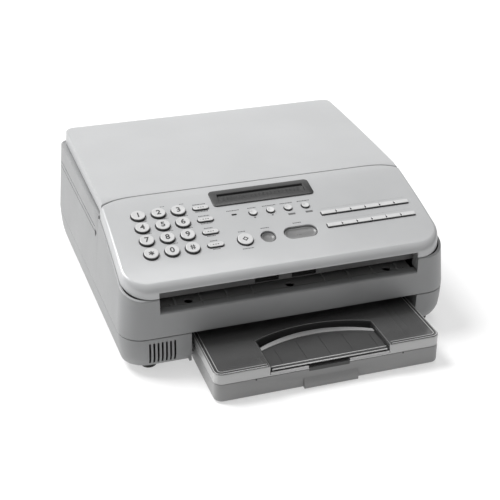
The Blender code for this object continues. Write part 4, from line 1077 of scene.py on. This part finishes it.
def make_lid_edges():
    """Painted shade for the thick side walls of the clear lid seen through its top, and painted
    highlights on the edge round it and inside it.
    """
    notch = (TRAY_X - NOTCH_HALF - 2.0, TRAY_X + NOTCH_HALF + 2.0)
    bands = (("lid_edge_highlight", 1.2, 1.9, 0.06, "lid_highlight"), ("lid_inner_wall_shade", 2.4, 4.0, 0.05, "well"),
             ("lid_inner_edge_highlight", 4.6, 5.2, 0.06, "lid_highlight"))
    for name, outer, inner, lift, look in bands:
        ring = made(block(cassette_outline(outer, LID_REAR), LID_TOP + lift, LID_TOP - 0.4), name)
        combine(ring, block(cassette_outline(inner, 60.0), 60.0, 0.0))
        combine(ring, brick((notch[0], -90.0, 20.0), (notch[1], TRAY_FRONT + 12.0, 60.0)))
        settle(ring, look, "cassette")


def make_stopper():
    """The fan-shaped flap at the cassette's front, with grooves darkened by painted shade, a raised rim
    and hinge bars; the rim and bars are lighter by a painted highlight.
    """
    front = TRAY_FRONT + 3.0
    half = NOTCH_HALF - 2.5
    flap = made(rounded(extruded(fan(half, front, 50.0, 17.0), 26.8, 28.4), 0.3), "stopper_flap")
    grooves, lines = [], []
    for place in GROOVE_PLACES:
        x = TRAY_X + place
        end = front + 42.0 - 0.0045 * place ** 2
        grooves.append(brick((x - 0.4, front + 6.0, 27.5), (x + 0.4, end, 30.0)))
        # A dark strip in the groove's bottom: painted shade.
        lines.append(brick((x - 0.35, front + 6.2, 27.4), (x + 0.35, end - 0.2, 28.2)))
    combine(flap, joined(grooves))
    settle(flap, "smoked_flap", "stopper", ["paper_stopper"])
    settle_group(lines, "stopper_groove_shade", "dark", "stopper")
    rim = made(rounded(extruded(fan(half, front, 54.5, 17.0), 27.6, 29.4), 0.5), "stopper_rim")
    combine(rim, extruded(fan(half + 6.0, front - 8.0, 54.6, 17.6), 20.0, 40.0))
    # The rim's lighter colour is a painted highlight.
    settle(rim, "flap_rim", "stopper")
    # Light bars: painted highlight along the flap's hinge.
    bars = [rounded(brick((TRAY_X - half, front + y, 27.0), (TRAY_X + half, front + y + 1.1, top)), 0.35)
            for y, top in ((-1.6, 28.2), (1.6, 29.3))]
    settle_group(bars, "stopper_hinge_bars", "lid_highlight", "stopper")


def make_lift_plate():
    outline = rounded_rectangle(TRAY_X - 108.0, TRAY_X + 108.0, -50.0, 240.0, 4.0, 4.0, 6)
    plate = made(rounded(extruded(outline, 4.4, 6.0), 0.3), "lift_plate_sheet")
    settle(plate, "plate", "lift_plate", ["paper_lift_plate"])


# ---------------- stage

FLOOR_REACH = 60.0
FLOOR_DROP = 0.0005
FLOOR_GLOW = 0.5
ROOM_LIGHT = 0.19
WHITE = (1.0, 1.0, 1.0, 1.0)

# Name, direction, strength and width in degrees of each soft light
SUNS = [
    ("key", (-0.48, 0.38, 1.0), 3.15, 26.0),
    ("top", (0.15, 0.15, 1.0), 0.6, 24.0),
    ("side", (-1.0, 0.45, 0.35), 1.0, 40.0),
    ("fill", (-0.15, -0.45, 1.0), 0.3, 60.0),
    ("back", (0.3, 1.0, 0.5), 0.5, 50.0),
]

# Where the camera stands, in body millimetres, and where it looks, in degrees
CAMERA_PLACE = (-341.6, -910.7, 621.3)
CAMERA_AZIMUTH, CAMERA_ELEVATION, CAMERA_ROLL = -17.94, 27.25, -0.14
LENS, SENSOR = 77.98, 36.0


def soft_sun(name, towards, strength, width):
    """Even light from a wide patch of sky."""
    data = bpy.data.lights.new(name, "SUN")
    data.energy = strength
    data.angle = math.radians(width)
    light = linked(name, data)
    light.rotation_mode = "QUATERNION"
    light.rotation_quaternion = (-Vector(towards)).to_track_quat("-Z", "Y")


def make_stage():
    bm = bmesh.new()
    bmesh.ops.create_grid(bm, x_segments=4, y_segments=4, size=FLOOR_REACH)
    mesh = bpy.data.meshes.new("floor")
    bm.to_mesh(mesh)
    bm.free()
    floor = linked("floor", mesh)
    floor.location.z = -FLOOR_DROP
    floor.data.materials.append(LOOKS["floor"])
    tree = LOOKS["floor"].node_tree
    feed(tree, tree.nodes["Principled BSDF"], {"Emission Color": WHITE, "Emission Strength": FLOOR_GLOW})
    world = bpy.data.worlds.new("studio")
    world.use_nodes = True
    tree = world.node_tree
    feed(tree, tree.nodes["Background"], {"Color": WHITE, "Strength": ROOM_LIGHT})
    bpy.context.scene.world = world
    for sun in SUNS:
        soft_sun(*sun)
    bpy.context.scene.view_settings.view_transform = "Standard"


def make_camera():
    """Camera at the front left, looking down at the machine."""
    azimuth, elevation = math.radians(CAMERA_AZIMUTH), math.radians(CAMERA_ELEVATION)
    forward = Vector((-math.sin(azimuth) * math.cos(elevation), math.cos(azimuth) * math.cos(elevation),
                      -math.sin(elevation)))
    data = bpy.data.cameras.new("camera")
    data.lens = LENS
    data.sensor_width = SENSOR
    camera = linked("camera", data)
    camera.rotation_mode = "QUATERNION"
    tilt = Matrix.Rotation(math.radians(CAMERA_ROLL), 3, "Z").to_quaternion()
    camera.rotation_quaternion = forward.to_track_quat("-Z", "Y") @ tilt
    camera.location = at(*CAMERA_PLACE)
    bpy.context.scene.camera = camera


make_stage()
make_camera()
make_housing()
make_base()
make_panel()
make_keys()
make_display()
make_marks()
make_guides()
finish_inner_pieces()
make_cover()
make_cassette()
make_cassette_cover()
make_stopper()
make_lift_plate()
